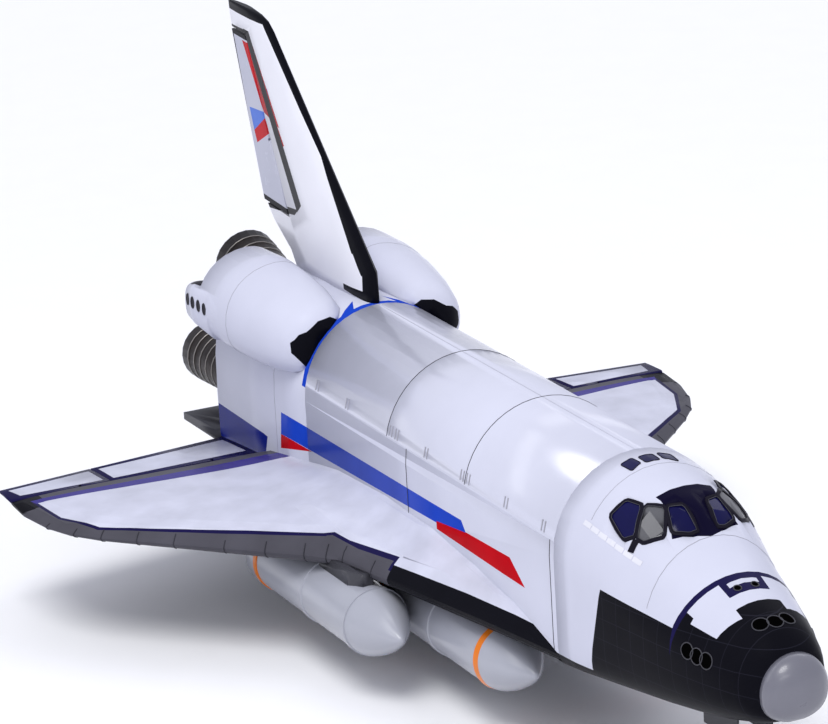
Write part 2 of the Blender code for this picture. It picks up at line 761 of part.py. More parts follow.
def build_pods():
    """Rear pods beside the fin, each with a boxed tail and a nozzle."""
    for name, side in SIDES.items():
        pod = loft(f"rear_pod_{name}", [oval(*row, side, slope=POD_SLOPE) for row in POD_SECTIONS],
                   "white_tile")
        tail = loft("tail", [oval(s, a, h, w, t, side, 3.0) for s, a, h, w, t in (
            (31.60, 3.18, 4.62, 0.50, 0.90), (32.90, 3.25, 4.62, 0.45, 0.74),
            (33.45, 3.25, 4.60, 0.40, 0.62))], "white_tile", CUTTERS)
        join(pod, tail)
        cut(pod, body_cutter(26.0, 33.0))
        cut(pod, fin_cutter())
        nozzle = turned(f"pod_nozzle_{name}", bell(1.50, 0.24, 0.45), place(32.30 + GAP, 2.33, 4.60, side),
                        Vector((0, 1, 0.02)), "nozzle_metal", 20)
        trim_flat(nozzle, 32.30)
        cut(nozzle, body_cutter(26.0, 33.0, 0.001))


def fin_cutter():
    """Form of the fin foot, to part the pods from it."""
    rings = []
    for height in (4.0, 8.0):
        rings.append([place(s, a, height) for s, a in ((25.5, 0.02), (28.5, 0.37), (34.0, 0.37),
                                                       (34.0, -0.37), (28.5, -0.37), (25.5, -0.02))])
    return loft("fin_form", rings, "white_tile", CUTTERS)


def bell(length, throat, mouth, wall=0.05):
    """Nozzle profile, outer side from the mouth forward, then the inner side back out."""
    shares = (1.0, 0.6, 0.25, 0.0)
    outer = [(length * t, throat + (mouth - throat) * t ** 0.62) for t in shares]
    inner = [(length * t, (throat + (mouth - throat) * t ** 0.62) - wall) for t in shares[::-1][1:]]
    return ([(length, mouth - wall)] + outer + [(-0.5, throat), (-0.5, 0.0), (length * 0.10, 0.0)]
            + inner[:-1] + [(length, mouth - wall)])


def trim_flat(obj, station):
    """Cuts away what lies ahead of a station."""
    mesh_of(obj)
    cut(obj, box("front", place(station - 3, -5, -1), place(station + GAP, 5, 8), "white_tile", CUTTERS))


ENGINES = [
    # name, span, height at the base, lift of the axis in degrees, length, mouth radius
    ("main_engine_top", 0.00, 3.77, 10.0, 4.387, 1.085),
    ("main_engine_right", 1.50, 1.57, 1.0, 4.340, 1.00),
    ("main_engine_left", -1.50, 1.57, 1.0, 4.340, 1.00),
]
ENGINE_THROAT = 0.62


def build_engines():
    """Three main engine nozzles on the base."""
    for name, span, height, lift, length, mouth in ENGINES:
        axis = Vector((0, math.cos(math.radians(lift)), math.sin(math.radians(lift))))
        engine = turned(name, bell(length, ENGINE_THROAT, mouth), place(BASE_STATION, span, height, -1),
                        axis, "nozzle_metal", 24)
        trim_flat(engine, BASE_STATION)


FLAP_HINGE = (33.02, 0.10)   # (station, height)
FLAP_REAR = (35.75, -0.12, 0.12)   # (station, lower, upper)
FLAP_HALF_WIDTH = 3.10


def build_body_flap():
    """Flap under the engines, hinged on two lugs."""
    station, height = FLAP_HINGE
    radius = 0.19
    rings = []
    for a in (-FLAP_HALF_WIDTH, FLAP_HALF_WIDTH):
        points = []
        for i in range(11):
            angle = math.pi / 2 + math.pi * i / 10
            points.append((station + radius * math.cos(angle), height + radius * math.sin(angle)))
        points += [(FLAP_REAR[0], FLAP_REAR[1]), (FLAP_REAR[0], FLAP_REAR[2])]
        rings.append([place(s, a, h) for s, h in points])
    flap = loft("body_flap", rings, "black_tile")
    aft = bpy.data.objects["aft_fuselage"]
    for a in (-1.9, 1.9):
        hinge_lug(aft, flap, place(station, a, height), (1, 0, 0), (0, -1, 0), radius + 0.04,
                  radius * 0.6, 0.14, 0.40)
    set_origin(flap, place(station, 0, height))


# Strap-on boosters

BOOSTER_RADIUS = 1.03
BOOSTERS = [
    # name, span, height of the axis, tip station, tail station
    ("inboard", 2.32, -1.385, 11.37, 20.28),
    ("outboard", 4.47, -1.30, 15.86, 25.21),
]
BOOSTER_RINGS = {"inboard": (2.00, 5.30, 8.55), "outboard": (2.05, 5.20, 8.60)}   # aft of the tip
PYLONS = [
    # booster, front station, rear station, half width
    ("inboard", 13.60, 16.45, 0.42),
    ("outboard", 18.20, 20.85, 0.42),
]


def build_boosters():
    """Four boosters with pointed noses, raised rings and a nozzle each."""
    for label, span, height, tip, tail in BOOSTERS:
        r = BOOSTER_RADIUS
        rise = 0.035
        profile = [(0.0, 0.0)]
        for share in (0.3, 0.65, 1.0):
            profile.append((1.95 * share, r * (1 - (1 - share) ** 1.45) ** 0.95))
        for ring in BOOSTER_RINGS[label]:
            profile += [(ring - 0.11, r), (ring - 0.11, r + rise), (ring + 0.11, r + rise),
                        (ring + 0.11, r)]
        length = tail - tip
        profile += [(length - 0.02, r), (length + 0.28, 0.42), (length + 0.80, 0.52),
                    (length + 0.80, 0.0)]
        profile = sorted_profile(profile)
        for name, side in SIDES.items():
            turned(f"booster_{label}_{name}", profile[::-1], place(tip, span, height, side),
                   Vector((0, 1, 0)), "white_tile", 20)


def sorted_profile(profile):
    """Drops profile points that step back along the axis."""
    kept = []
    for point in profile:
        if kept and point[0] < kept[-1][0]:
            continue
        kept.append(point)
    return kept


def build_pylons():
    """Fairing between each booster and the wing or belly above it."""
    places = {row[0]: row for row in BOOSTERS}
    for label, front, rear, half in PYLONS:
        _, span, height, tip, tail = places[label]
        for name, side in SIDES.items():
            outline = [(span - half * 0.4, front), (span - half, front + 0.6), (span - half, rear),
                       (span + half, rear), (span + half, front + 0.6), (span + half * 0.4, front)]
            pylon = loft(f"pylon_{label}_{name}", [[place(s, a, h, side) for a, s in outline]
                                                   for h in (height + 0.75, 0.10)], "white_tile")
            cut(pylon, rod("barrel", place(tip + 1.9, span, height, side),
                           place(tail, span, height, side),
                           BOOSTER_RADIUS / math.cos(math.pi / 96) + GAP, "white_tile", CUTTERS, 96))
            cut(pylon, body_cutter(7.0, 33.0, GAP * 1.3))
            cut(pylon, wing_form(side))


def wing_form(side):
    """Uncut wing, a gap lower, to trim what hangs from it."""
    rings = [[p - Vector((0, 0, GAP * 1.5)) for p in wing_ring(a, side)] for a in WING_SPANS]
    return loft("wing_form", rings, "white_tile", CUTTERS)


# Landing gear

NOSE_WELL = (2.75, 4.75, 0.55, 0.75)        # front, rear, half width, depth
MAIN_WELL = (21.50, 24.60, 2.45, 3.50, 0.45)   # front, rear, inner span, outer span, depth


def build_wells():
    """Cuts the wheel wells into the belly and the wings."""
    front, rear, half, depth = NOSE_WELL
    cut(bpy.data.objects["forward_fuselage"],
        box("well", place(front, -half, -1), place(rear, half, depth), "white_tile", CUTTERS))
    front, rear, inner, outer, depth = MAIN_WELL
    for name, side in SIDES.items():
        for piece in ("mid_fuselage", f"wing_{name}"):
            cut(bpy.data.objects[piece],
                box("well", place(front, inner, -1, side), place(rear, outer, depth, side), "white_tile",
                    CUTTERS))


def axle_profile(shaft, gap_half, rim, outer):
    """Axle with a wheel disc at each end, about its middle."""
    return [(outer, 0.0), (outer, rim * 0.5), (outer - 0.08, rim), (gap_half, rim), (gap_half, shaft),
            (-gap_half, shaft), (-gap_half, rim), (-outer + 0.08, rim), (-outer, rim * 0.5), (-outer, 0.0)]


def tyre_profile(radius, width, bore):
    """Tyre with rounded shoulders round a plain bore."""
    half = width / 2
    shoulder = bore + (radius - bore) * 0.45
    return [(half * 0.86, bore), (half, shoulder), (half * 0.72, radius), (-half * 0.72, radius),
            (-half, shoulder), (-half * 0.86, bore), (half * 0.86, bore)]


def build_wheels(label, centre, tyre, block_half, rim, names):
    """Axle with its two tyres."""
    radius, width = tyre
    offset = block_half + GAP + 0.03 + width / 2
    outer = offset + width * 0.32
    turned(f"{label}_axle", axle_profile(0.055, block_half + GAP, rim, outer), centre,
           Vector((1, 0, 0)), "strut_metal", 24)
    for name, shift in names:
        turned(f"{label}_tyre_{name}", tyre_profile(radius, width, rim + GAP),
               centre + Vector((shift * offset, 0, 0)), Vector((1, 0, 0)), "tyre_rubber", 24)


def axle_block(centre, half, radius, top):
    """Block round the axle with a clear bore, reaching up to a height."""
    block = rod("block", centre - Vector((half, 0, 0)), centre + Vector((half, 0, 0)), radius,
                "strut_metal", CUTTERS, 16)
    stem = rod("stem", centre, Vector((centre.x, centre.y, top)), half * 0.9, "strut_metal", CUTTERS, 14)
    join(block, stem)
    cut(block, rod("bore", centre - Vector((half * 2, 0, 0)), centre + Vector((half * 2, 0, 0)), 0.062,
                   "strut_metal", CUTTERS, 16))
    return block


def build_gear():
    """Three legs, their wheels and the doors of their wells."""
    # Nose leg: the upper tube is fixed, the lower part steers.
    joint_height = 1.25
    top = place(0, 0, NOSE_WELL[3]).z - GAP
    x, y = 0.0, place(NOSE_AXLE_STATION).y
    leg = rod("nose_gear_leg", (x, y, joint_height), (x, y, top), 0.15, "strut_metal")
    join(leg, rod("brace", (x, y, 2.3), (x, place(3.1).y, top - 0.08), 0.06, "strut_metal", CUTTERS, 12))
    centre = Vector((x, y, NOSE_TYRE[0]))
    fork = axle_block(centre, 0.11, 0.10, joint_height - GAP)
    join(fork, rod("collar", (x, y, joint_height - 0.18), (x, y, joint_height - GAP), 0.15,
                   "strut_metal", CUTTERS, 20))
    fork.name = "nose_gear_fork"
    move_to_parts(fork)
    set_origin(fork, Vector((x, y, joint_height)))
    build_wheels("nose", centre, NOSE_TYRE, 0.11, 0.19, (("right", -1), ("left", 1)))
    # Main legs
    for name, side in SIDES.items():
        centre = place(MAIN_AXLE_STATION, MAIN_AXLE_SPAN, 0, side)
        centre.z = MAIN_TYRE[0]
        top = place(0, 0, MAIN_WELL[4]).z - GAP
        leg = axle_block(centre, 0.14, 0.13, 1.4)
        join(leg, rod("tube", (centre.x, centre.y, 1.2), (centre.x, centre.y, top), 0.17, "strut_metal",
                      CUTTERS, 20))
        join(leg, rod("brace", (centre.x, centre.y, 2.4), (centre.x, place(22.2).y, top - 0.06), 0.07,
                      "strut_metal", CUTTERS, 12))
        leg.name = f"main_gear_leg_{name}"
        move_to_parts(leg)
        build_wheels(f"main_{name}", centre, MAIN_TYRE, 0.14, 0.26, (("inner", -side), ("outer", side)))
    # Doors hang open at the sides of the wells.
    front, rear, half, depth = NOSE_WELL
    for name, side in SIDES.items():
        box(f"nose_gear_door_{name}", place(front + 0.03, half - GAP, -0.88, side),
            place(rear - 0.03, half - 0.05, 0.10, side), "black_tile")
        f, r, inner, outer, _ = MAIN_WELL
        box(f"main_gear_door_{name}", place(f + 0.03, inner + GAP, -1.25, side),
            place(r - 0.03, inner + 0.06, -0.05, side), "black_tile")


def main():
    """Builds every piece and removes the cutters."""
    build_nose_cap()
    build_forward_fuselage()
    build_mid_fuselage()
    build_bay_doors()
    build_aft_fuselage()
    build_wings()
    build_wells()
    build_elevons()
    build_fin()
    build_pods()
    build_engines()
    build_body_flap()
    build_boosters()
    build_pylons()
    build_gear()
    for cutter in list(CUTTERS.objects):
        bpy.data.objects.remove(cutter, do_unlink=True)


clear_scene()
PARTS = collection("space_shuttle")
CUTTERS = collection("cutters", hidden=True)
main()
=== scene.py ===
"""Finish of the winged space shuttle: paint, tiles, windows, nozzles, seams and studio.

Metres, +Z up, nose towards -Y, starboard towards -X. Places are written as on the drawing: a station
aft of the nose tip, a span out from the plane of symmetry, and a height above the datum.
"""

from __future__ import annotations

import json
import logging
import math
from dataclasses import dataclass, field
from enum import Enum
from typing import Callable, Iterable, Sequence

import bmesh
import bpy
from mathutils import Matrix, Vector
from mathutils.bvhtree import BVHTree

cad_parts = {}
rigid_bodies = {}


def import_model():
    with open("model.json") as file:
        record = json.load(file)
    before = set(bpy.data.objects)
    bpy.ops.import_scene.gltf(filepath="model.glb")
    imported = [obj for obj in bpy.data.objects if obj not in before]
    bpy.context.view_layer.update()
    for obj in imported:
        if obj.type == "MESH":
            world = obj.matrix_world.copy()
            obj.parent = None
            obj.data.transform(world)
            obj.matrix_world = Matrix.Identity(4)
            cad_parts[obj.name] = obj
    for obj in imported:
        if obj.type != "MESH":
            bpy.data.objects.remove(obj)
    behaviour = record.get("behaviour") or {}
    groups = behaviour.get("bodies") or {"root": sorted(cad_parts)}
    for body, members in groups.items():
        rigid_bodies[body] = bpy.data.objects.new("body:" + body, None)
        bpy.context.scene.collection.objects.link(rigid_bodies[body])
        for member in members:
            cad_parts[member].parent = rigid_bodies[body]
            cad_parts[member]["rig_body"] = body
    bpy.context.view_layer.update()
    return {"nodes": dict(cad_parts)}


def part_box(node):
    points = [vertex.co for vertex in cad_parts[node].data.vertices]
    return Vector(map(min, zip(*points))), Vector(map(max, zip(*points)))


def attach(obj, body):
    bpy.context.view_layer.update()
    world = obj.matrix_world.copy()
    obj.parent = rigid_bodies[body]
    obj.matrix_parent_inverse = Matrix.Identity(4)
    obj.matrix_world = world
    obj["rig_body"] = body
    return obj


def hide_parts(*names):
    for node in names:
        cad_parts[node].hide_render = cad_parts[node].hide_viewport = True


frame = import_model()

LOG = logging.getLogger("shuttle")
NOSE_Y = -18.605          # where station 0 lies
DATUM_Z = 3.73            # where height 0 lies
SIDES = {"right": -1, "left": 1}
BAY_FRONT, BAY_REAR = 9.25, 26.34
TILE_PITCH = 0.62         # side of one square tile
PAINT_JOINT = 0.016       # joint between painted tiles
PAINT_JOINT_TONE = 2.5    # how much lighter it is than the paint
PAINT_CLOUDS = 0.85       # darkest share of a coat's colour
COAT_ROUGHNESS = 0.06
BUMP_DISTANCE = 0.02
COLOUR_SCALE, GLOSS_SCALE, PAINT_SCALE = 0.45, 1.7, 0.9   # size of the clouds in each
GLOSS_LOW, GLOSS_HIGH = 0.85, 1.2                         # range of the roughness

Colour = tuple[float, float, float]
Pair = tuple[float, float]


def place(station: float, span: float = 0.0, height: float = 0.0, side: int = 1) -> Vector:
    """Point of the drawing in metres.

    Args:
        station: Distance aft of the nose tip.
        span: Distance out from the plane of symmetry.
        height: Height above the datum.
        side: -1 for starboard, 1 for port.

    Returns:
        The point in the frame.
    """
    return Vector((side * span, station + NOSE_Y, height + DATUM_Z))


# Paint regions


class View(Enum):
    """Which two coordinates a painted outline is drawn in."""

    SIDE = "station and height"
    PLAN = "span and station"
    FRONT = "span and height"


@dataclass(frozen=True)
class Half:
    """Space on one side of a plane, in |x|, y and z: where normal . p + offset is above zero."""

    normal: Colour
    offset: float

    def flipped(self) -> Half:
        """The other side of the same plane."""
        return Half(tuple(-n for n in self.normal), -self.offset)


Solid = tuple[Half, ...]      # what lies inside all of its halves


def outline(view: View, points: Sequence[Pair], *also: Half) -> Solid:
    """Convex painted outline, drawn in one view and carried through the body.

    Args:
        view: The view it is drawn in.
        points: Its corners in order.
        also: Further halves that limit it.

    Returns:
        The halves that bound it.
    """
    axes = {View.SIDE: (1, 2), View.PLAN: (0, 1), View.FRONT: (0, 2)}[view]
    shift = {0: 0.0, 1: NOSE_Y, 2: DATUM_Z}
    flat = [Vector((a + shift[axes[0]], b + shift[axes[1]])) for a, b in points]
    middle = sum(flat, Vector((0.0, 0.0))) / len(flat)
    halves = []
    for here, after in zip(flat, flat[1:] + flat[:1]):
        across = Vector((here.y - after.y, after.x - here.x)).normalized()
        if (middle - here).dot(across) < 0:
            across = -across
        normal = [0.0, 0.0, 0.0]
        normal[axes[0]], normal[axes[1]] = across
        halves.append(Half(tuple(normal), -across.dot(here)))
    return tuple(halves) + also


def beyond(view: View, start: Pair, end: Pair, inside: Pair) -> Half:
    """Half bounded by a line in a view.

    Args:
        view: The view the line is drawn in.
        start: One point of the line.
        end: Another.
        inside: A point on the kept side.

    Returns:
        The half that holds the inside point.
    """
    return outline(view, [start, end, inside])[0]


def aft_of(station: float) -> Half:
    """Everything behind a station."""
    return Half((0.0, 1.0, 0.0), -(station + NOSE_Y))


def ahead_of(station: float) -> Half:
    """Everything in front of a station."""
    return aft_of(station).flipped()


def above(height: float) -> Half:
    """Everything higher than a height."""
    return Half((0.0, 0.0, 1.0), -(height + DATUM_Z))


def below(height: float) -> Half:
    """Everything lower than a height."""
    return above(height).flipped()


def outboard(span: float) -> Half:
    """Everything further out than a span."""
    return Half((1.0, 0.0, 0.0), -span)


# Finishes


@dataclass(frozen=True)
class Layer:
    """Coat of paint over part of a finish."""

    colour: Colour
    solids: tuple[Solid, ...] = ()
    roughness: float = 0.25
    underside: bool = False
    tiled: bool = False
    shine: float = 0.12


class Graph:
    """Node tree of one material, built up socket by socket."""

    def __init__(self, material: bpy.types.Material) -> None:
        """Starts from the material's own shader.

        Args:
            material: The material to build in.
        """
        material.use_nodes = True
        self.tree = material.node_tree
        self.shader = self.tree.nodes["Principled BSDF"]
        self.point = self.node("ShaderNodeTexCoord").outputs["Object"]
        self.split = self.node("ShaderNodeSeparateXYZ", self.point)
        folded = self.node("ShaderNodeCombineXYZ")
        self.link(self.math("ABSOLUTE", self.split.outputs[0]), folded.inputs[0])
        self.link(self.split.outputs[1], folded.inputs[1])
        self.link(self.split.outputs[2], folded.inputs[2])
        self.folded = folded.outputs[0]

    def link(self, source: bpy.types.NodeSocket, target: bpy.types.NodeSocket) -> None:
        """Joins two sockets."""
        self.tree.links.new(source, target)

    def node(self, kind: str, *inputs: bpy.types.NodeSocket, **settings: object) -> bpy.types.Node:
        """Adds a node.

        Args:
            kind: Its type.
            inputs: Sockets for its first inputs.
            settings: Its properties.

        Returns:
            The node.
        """
        made = self.tree.nodes.new(kind)
        for key, value in settings.items():
            setattr(made, key, value)
        for source, target in zip(inputs, made.inputs):
            self.link(source, target)
        return made

    def math(self, operation: str, *values: object) -> bpy.types.NodeSocket:
        """Math node.

        Args:
            operation: What it does.
            values: Sockets or numbers for its inputs.

        Returns:
            Its output.
        """
        made = self.node("ShaderNodeMath", operation=operation)
        for value, target in zip(values, made.inputs):
            if isinstance(value, (int, float)):
                target.default_value = value
            else:
                self.link(value, target)
        return made.outputs[0]

    def half(self, half: Half) -> bpy.types.NodeSocket:
        """Mask that is 1 inside a half.

        Args:
            half: The half-space.

        Returns:
            The mask.
        """
        dot = self.node("ShaderNodeVectorMath", self.folded, operation="DOT_PRODUCT")
        dot.inputs[1].default_value = half.normal
        return self.math("GREATER_THAN", dot.outputs["Value"], -half.offset)

    def mask(self, solids: Iterable[Solid]) -> bpy.types.NodeSocket:
        """Mask that is 1 inside any of some solids.

        Args:
            solids: The solids.

        Returns:
            The mask.
        """
        total = None
        for solid in solids:
            inside = None
            for half in solid:
                step = self.half(half)
                inside = step if inside is None else self.math("MULTIPLY", inside, step)
            total = inside if total is None else self.math("MAXIMUM", total, inside)
        return total

    def underside(self) -> bpy.types.NodeSocket:
        """Mask that is 1 on faces that look down.

        Returns:
            The mask.
        """
        normal = self.node("ShaderNodeNewGeometry").outputs["True Normal"]
        split = self.node("ShaderNodeSeparateXYZ", normal)
        return self.math("LESS_THAN", split.outputs[2], -0.25)

    def mix(self, mask: bpy.types.NodeSocket, low: object, high: object) -> bpy.types.NodeSocket:
        """Blend of two colours by a mask.

        Args:
            mask: 0 for the first, 1 for the second.
            low: Colour or socket.
            high: Colour or socket.

        Returns:
            The blended colour.
        """
        made = self.node("ShaderNodeMix", data_type="RGBA")
        self.link(mask, made.inputs["Factor"])
        for value, target in ((low, made.inputs[6]), (high, made.inputs[7])):
            if isinstance(value, tuple):
                target.default_value = (*value, 1.0)
            else:
                self.link(value, target)
        return made.outputs[2]

    def noise(self, scale: float, low: float, high: float, detail: float = 3.0) -> bpy.types.NodeSocket:
        """Cloudy value.

        Args:
            scale: Clouds to the metre.
            low: Its least value.
            high: Its greatest value.
            detail: Octaves.

        Returns:
            The value.
        """
        cloud = self.node("ShaderNodeTexNoise", self.point)
        cloud.inputs["Scale"].default_value = scale
        cloud.inputs["Detail"].default_value = detail
        ranged = self.node("ShaderNodeMapRange", cloud.outputs[0])
        ranged.inputs["From Min"].default_value = 0.3
        ranged.inputs["From Max"].default_value = 0.7
        ranged.inputs["To Min"].default_value = low
        ranged.inputs["To Max"].default_value = high
        return ranged.outputs[0]

    def joints(self, pitch: float, width: float) -> bpy.types.NodeSocket:
        """Mask of the joint lines between square tiles.

        Args:
            pitch: Size of a tile.
            width: Width of a joint.

        Returns:
            The mask.
        """
        lines = None
        for axis in (1, 2):
            saw = self.math("PINGPONG", self.split.outputs[axis], pitch / 2)
            line = self.math("LESS_THAN", saw, width / 2)
            lines = line if lines is None else self.math("MAXIMUM", lines, line)
        return lines


@dataclass(frozen=True)
class Finish:
    """Procedural finish of a surface, with its coats of paint."""

    name: str
    colour: Colour
    roughness: float = 0.25
    metallic: float = 0.0
    coat: float = 0.05
    specular: float = 0.5
    shine: float = 1.0
    mottling: float = 0.05
    grain: float = 30.0
    relief: float = 0.02
    tile: float = 0.0
    joint: float = 0.02
    joint_tone: float = 0.6
    layers: tuple[Layer, ...] = ()

    def material(self) -> bpy.types.Material:
        """Builds the material once.

        Returns:
            The material.
        """
        found = bpy.data.materials.get(self.name)
        if found:
            return found
        made = bpy.data.materials.new(self.name)
        graph = Graph(made)
        shader = graph.shader
        shader.inputs["Metallic"].default_value = self.metallic
        shader.inputs["Coat Weight"].default_value = self.coat
        shader.inputs["Specular IOR Level"].default_value = self.specular
        shader.inputs["Coat Roughness"].default_value = COAT_ROUGHNESS
        colour = graph.mix(graph.noise(COLOUR_SCALE, 0.0, 1.0), self.colour,
                           tuple(c * (1 - self.mottling) for c in self.colour))
        rough = graph.noise(GLOSS_SCALE, self.roughness * GLOSS_LOW, self.roughness * GLOSS_HIGH)
        shine: object = (self.shine,) * 3
        if self.tile:
            lines = graph.joints(self.tile, self.joint)
            colour = graph.mix(lines, colour, tuple(c * self.joint_tone for c in self.colour))
        for layer in self.layers:
            mask = graph.mask(layer.solids) if layer.solids else None
            if layer.underside:
                down = graph.underside()
                mask = down if mask is None else graph.math("MULTIPLY", mask, down)
            tint = graph.mix(graph.noise(PAINT_SCALE, 0.0, 1.0), layer.colour,
                             tuple(c * PAINT_CLOUDS for c in layer.colour))
            if layer.tiled:
                tint = graph.mix(graph.joints(TILE_PITCH, PAINT_JOINT), tint,
                                 tuple(c * PAINT_JOINT_TONE for c in layer.colour))
            colour = graph.mix(mask, colour, tint)
            shine = graph.mix(mask, shine, (layer.shine,) * 3)
            rough = graph.math("ADD", graph.math("MULTIPLY", rough,
                                                 graph.math("SUBTRACT", 1.0, mask)),
                               graph.math("MULTIPLY", mask, layer.roughness))
        graph.link(colour, shader.inputs["Base Color"])
        graph.link(rough, shader.inputs["Roughness"])
        if self.layers:
            graph.link(shine, shader.inputs["Specular Tint"])
        else:
            shader.inputs["Specular Tint"].default_value = (*shine, 1.0)
        bump = graph.node("ShaderNodeBump")
        bump.inputs["Strength"].default_value = self.relief
        bump.inputs["Distance"].default_value = BUMP_DISTANCE
        graph.link(graph.noise(self.grain, 0.0, 1.0), bump.inputs["Height"])
        graph.link(bump.outputs[0], shader.inputs["Normal"])
        return made


WHITE: Colour = (0.57, 0.58, 0.68)
BLACK: Colour = (0.006, 0.006, 0.009)
NAVY: Colour = (0.012, 0.010, 0.055)
VIOLET: Colour = (0.045, 0.035, 0.22)
BLUE: Colour = (0.012, 0.055, 0.48)
DEEP_BLUE: Colour = (0.003, 0.012, 0.21)
RED: Colour = (0.50, 0.004, 0.010)
ORANGE: Colour = (0.75, 0.19, 0.015)
GREY: Colour = (0.075, 0.073, 0.088)
VISOR: Colour = (0.006, 0.005, 0.020)

LE_MAIN = [(4.95, 20.15), (10.10, 25.30), (10.75, 26.10), (11.20, 27.00), (11.50, 28.20),
           (11.60, 29.40)]    # leading edge of the outer wing, (span, station)
LE_GLOVE = [(2.62, 9.10), (4.72, 19.70)]


def inset(distance: float) -> tuple[Solid, Solid]:
    """Part of the wing plan that lies a distance inside the leading edge.

    Args:
        distance: How far inside.

    Returns:
        Two solids that together cover it.
    """
    main = []
    for start, end in zip(LE_MAIN, LE_MAIN[1:]):
        half = beyond(View.PLAN, start, end, (5.0, 29.0))
        main.append(Half(half.normal, half.offset - distance))
    glove = beyond(View.PLAN, LE_GLOVE[0], LE_GLOVE[1], (2.0, 15.0))
    return tuple(main), (Half(glove.normal, glove.offset - distance),)


def grown(solid: Solid, distance: float) -> Solid:
    """Solid with each of its faces moved outwards.

    Args:
        solid: The solid.
        distance: How far its faces move.

    Returns:
        The larger solid.
    """
    return tuple(Half(half.normal, half.offset + distance) for half in solid)


def wing_layers() -> tuple[Layer, ...]:
    """Paint of the wing: grey edge, dark bands and a black underside.

    Returns:
        The coats in order.
    """
    everywhere = (aft_of(5.0),)
    top = (outline(View.PLAN, [(2.0, 20.49), (4.46, 20.49), (10.02, 25.71), (10.70, 27.20),
                               (10.86, 28.80), (2.0, 27.75)]),
           outline(View.PLAN, [(2.0, 17.33), (3.78, 17.33), (4.46, 20.49), (2.0, 20.49)]),
           outline(View.PLAN, [(2.0, 8.0), (2.35, 9.10), (3.99, 17.33), (2.0, 17.33)]))
    return (
        Layer(GREY, (everywhere,), 0.30, shine=0.7),
        Layer(BLACK, ((ahead_of(17.33),), (aft_of(28.45), outboard(10.6)), (below(0.0), ahead_of(17.33)))),
        Layer(NAVY, tuple(grown(solid, 0.12) + (aft_of(17.33), above(0.2)) for solid in top)),
        Layer(VIOLET, ((outline(View.PLAN, [(2.0, 27.6), (10.9, 28.75), (11.0, 29.1), (2.0, 28.75)])
                        + (above(0.2),)),)),
        Layer(WHITE, tuple(solid + (above(0.0),) for solid in top), 0.20, shine=1.0),
        Layer(BLACK, inset(0.50) + ((ahead_of(17.33),),), 0.45, True, True),
    )


def elevon_layers() -> tuple[Layer, ...]:
    """Paint of the elevons: white panels inside dark outlines.

    Returns:
        The coats in order.
    """
    panels = (outline(View.PLAN, [(3.35, 29.90), (7.97, 29.70), (7.95, 31.08), (3.35, 31.85)]),
              outline(View.PLAN, [(8.32, 29.70), (11.10, 29.72), (11.22, 30.46), (8.32, 31.02)]))
    return (Layer(WHITE, panels, 0.20, shine=1.0), Layer(BLACK, (), 0.45, True, True))


def nose_layers() -> tuple[Layer, ...]:
    """Paint of the nose: black tiles, the visor and the panel over the thrusters.

    Returns:
        The coats in order.
    """
    side_line = beyond(View.SIDE, (3.69, 2.45), (6.91, 2.71), (5.0, 0.0))
    black = ((below(0.10),),
             (beyond(View.SIDE, (6.91, 2.71), (7.45, 0.65), (3.0, 1.0)), side_line),
             (ahead_of(3.70), below(2.50)),
             (ahead_of(2.0),),
             (beyond(View.PLAN, (1.34, 2.25), (0.70, 2.05), (0.9, 1.0)), outboard(0.68)),
             (ahead_of(2.40), outboard(0.68).flipped()),
             (outline(View.SIDE, [(3.62, 2.95), (3.24, 2.83), (3.24, 2.30), (3.70, 2.30)])),
             (beyond(View.SIDE, (3.44, 2.72), (2.18, 2.51), (3.0, 1.0)), ahead_of(3.5)))
    band = (aft_of(3.33), ahead_of(3.78),
            beyond(View.SIDE, (3.36, 3.66), (3.62, 2.45), (4.0, 3.0)),
            beyond(View.SIDE, (3.54, 3.72), (3.80, 2.45), (3.0, 3.0)))
    visor = (outline(View.PLAN, [(0.0, 6.38), (0.86, 6.44), (0.80, 5.85), (0.0, 5.85)], above(4.2)),
             outline(View.PLAN, [(0.0, 5.85), (0.80, 5.85), (1.03, 5.25), (0.5, 5.02), (0.0, 4.90)],
                     above(4.2)))
    box = outline(View.PLAN, [(0.0, 3.50), (0.66, 3.50), (0.62, 2.83), (0.0, 2.83)], above(3.0))
    bar = outline(View.PLAN, [(0.0, 3.31), (0.46, 3.29), (0.45, 3.12), (0.0, 3.14)], above(3.0))
    return (Layer(BLACK, black, 0.38, tiled=True), Layer(NAVY, (band, box), 0.25),
            Layer(VISOR, visor, 0.25), Layer(WHITE, (bar,), 0.2, shine=1.0))


def stripe_layers() -> tuple[Layer, ...]:
    """Paint of the body's sides: the long blue and red stripe and a black belly.

    Returns:
        The coats in order.
    """
    side = (outboard(2.4),)
    blue = (outline(View.SIDE, [(28.31, 2.07), (28.43, 1.31), (17.0, 1.72), (17.0, 2.27)]) + side,
            outline(View.SIDE, [(17.1, 2.27), (15.25, 2.31), (14.98, 2.00), (17.1, 1.76)]) + side)
    red = (outline(View.SIDE, [(17.0, 1.78), (14.98, 2.02), (12.1, 2.12), (11.19, 1.47), (12.5, 1.47),
                               (17.0, 1.52)]) + side,
           outline(View.SIDE, [(28.43, 1.31), (26.05, 1.38), (28.51, 0.82)]) + side)
    return (Layer(RED, red, 0.25), Layer(BLUE, blue, 0.25), Layer(BLACK, ((below(0.10),),), 0.45, tiled=True))


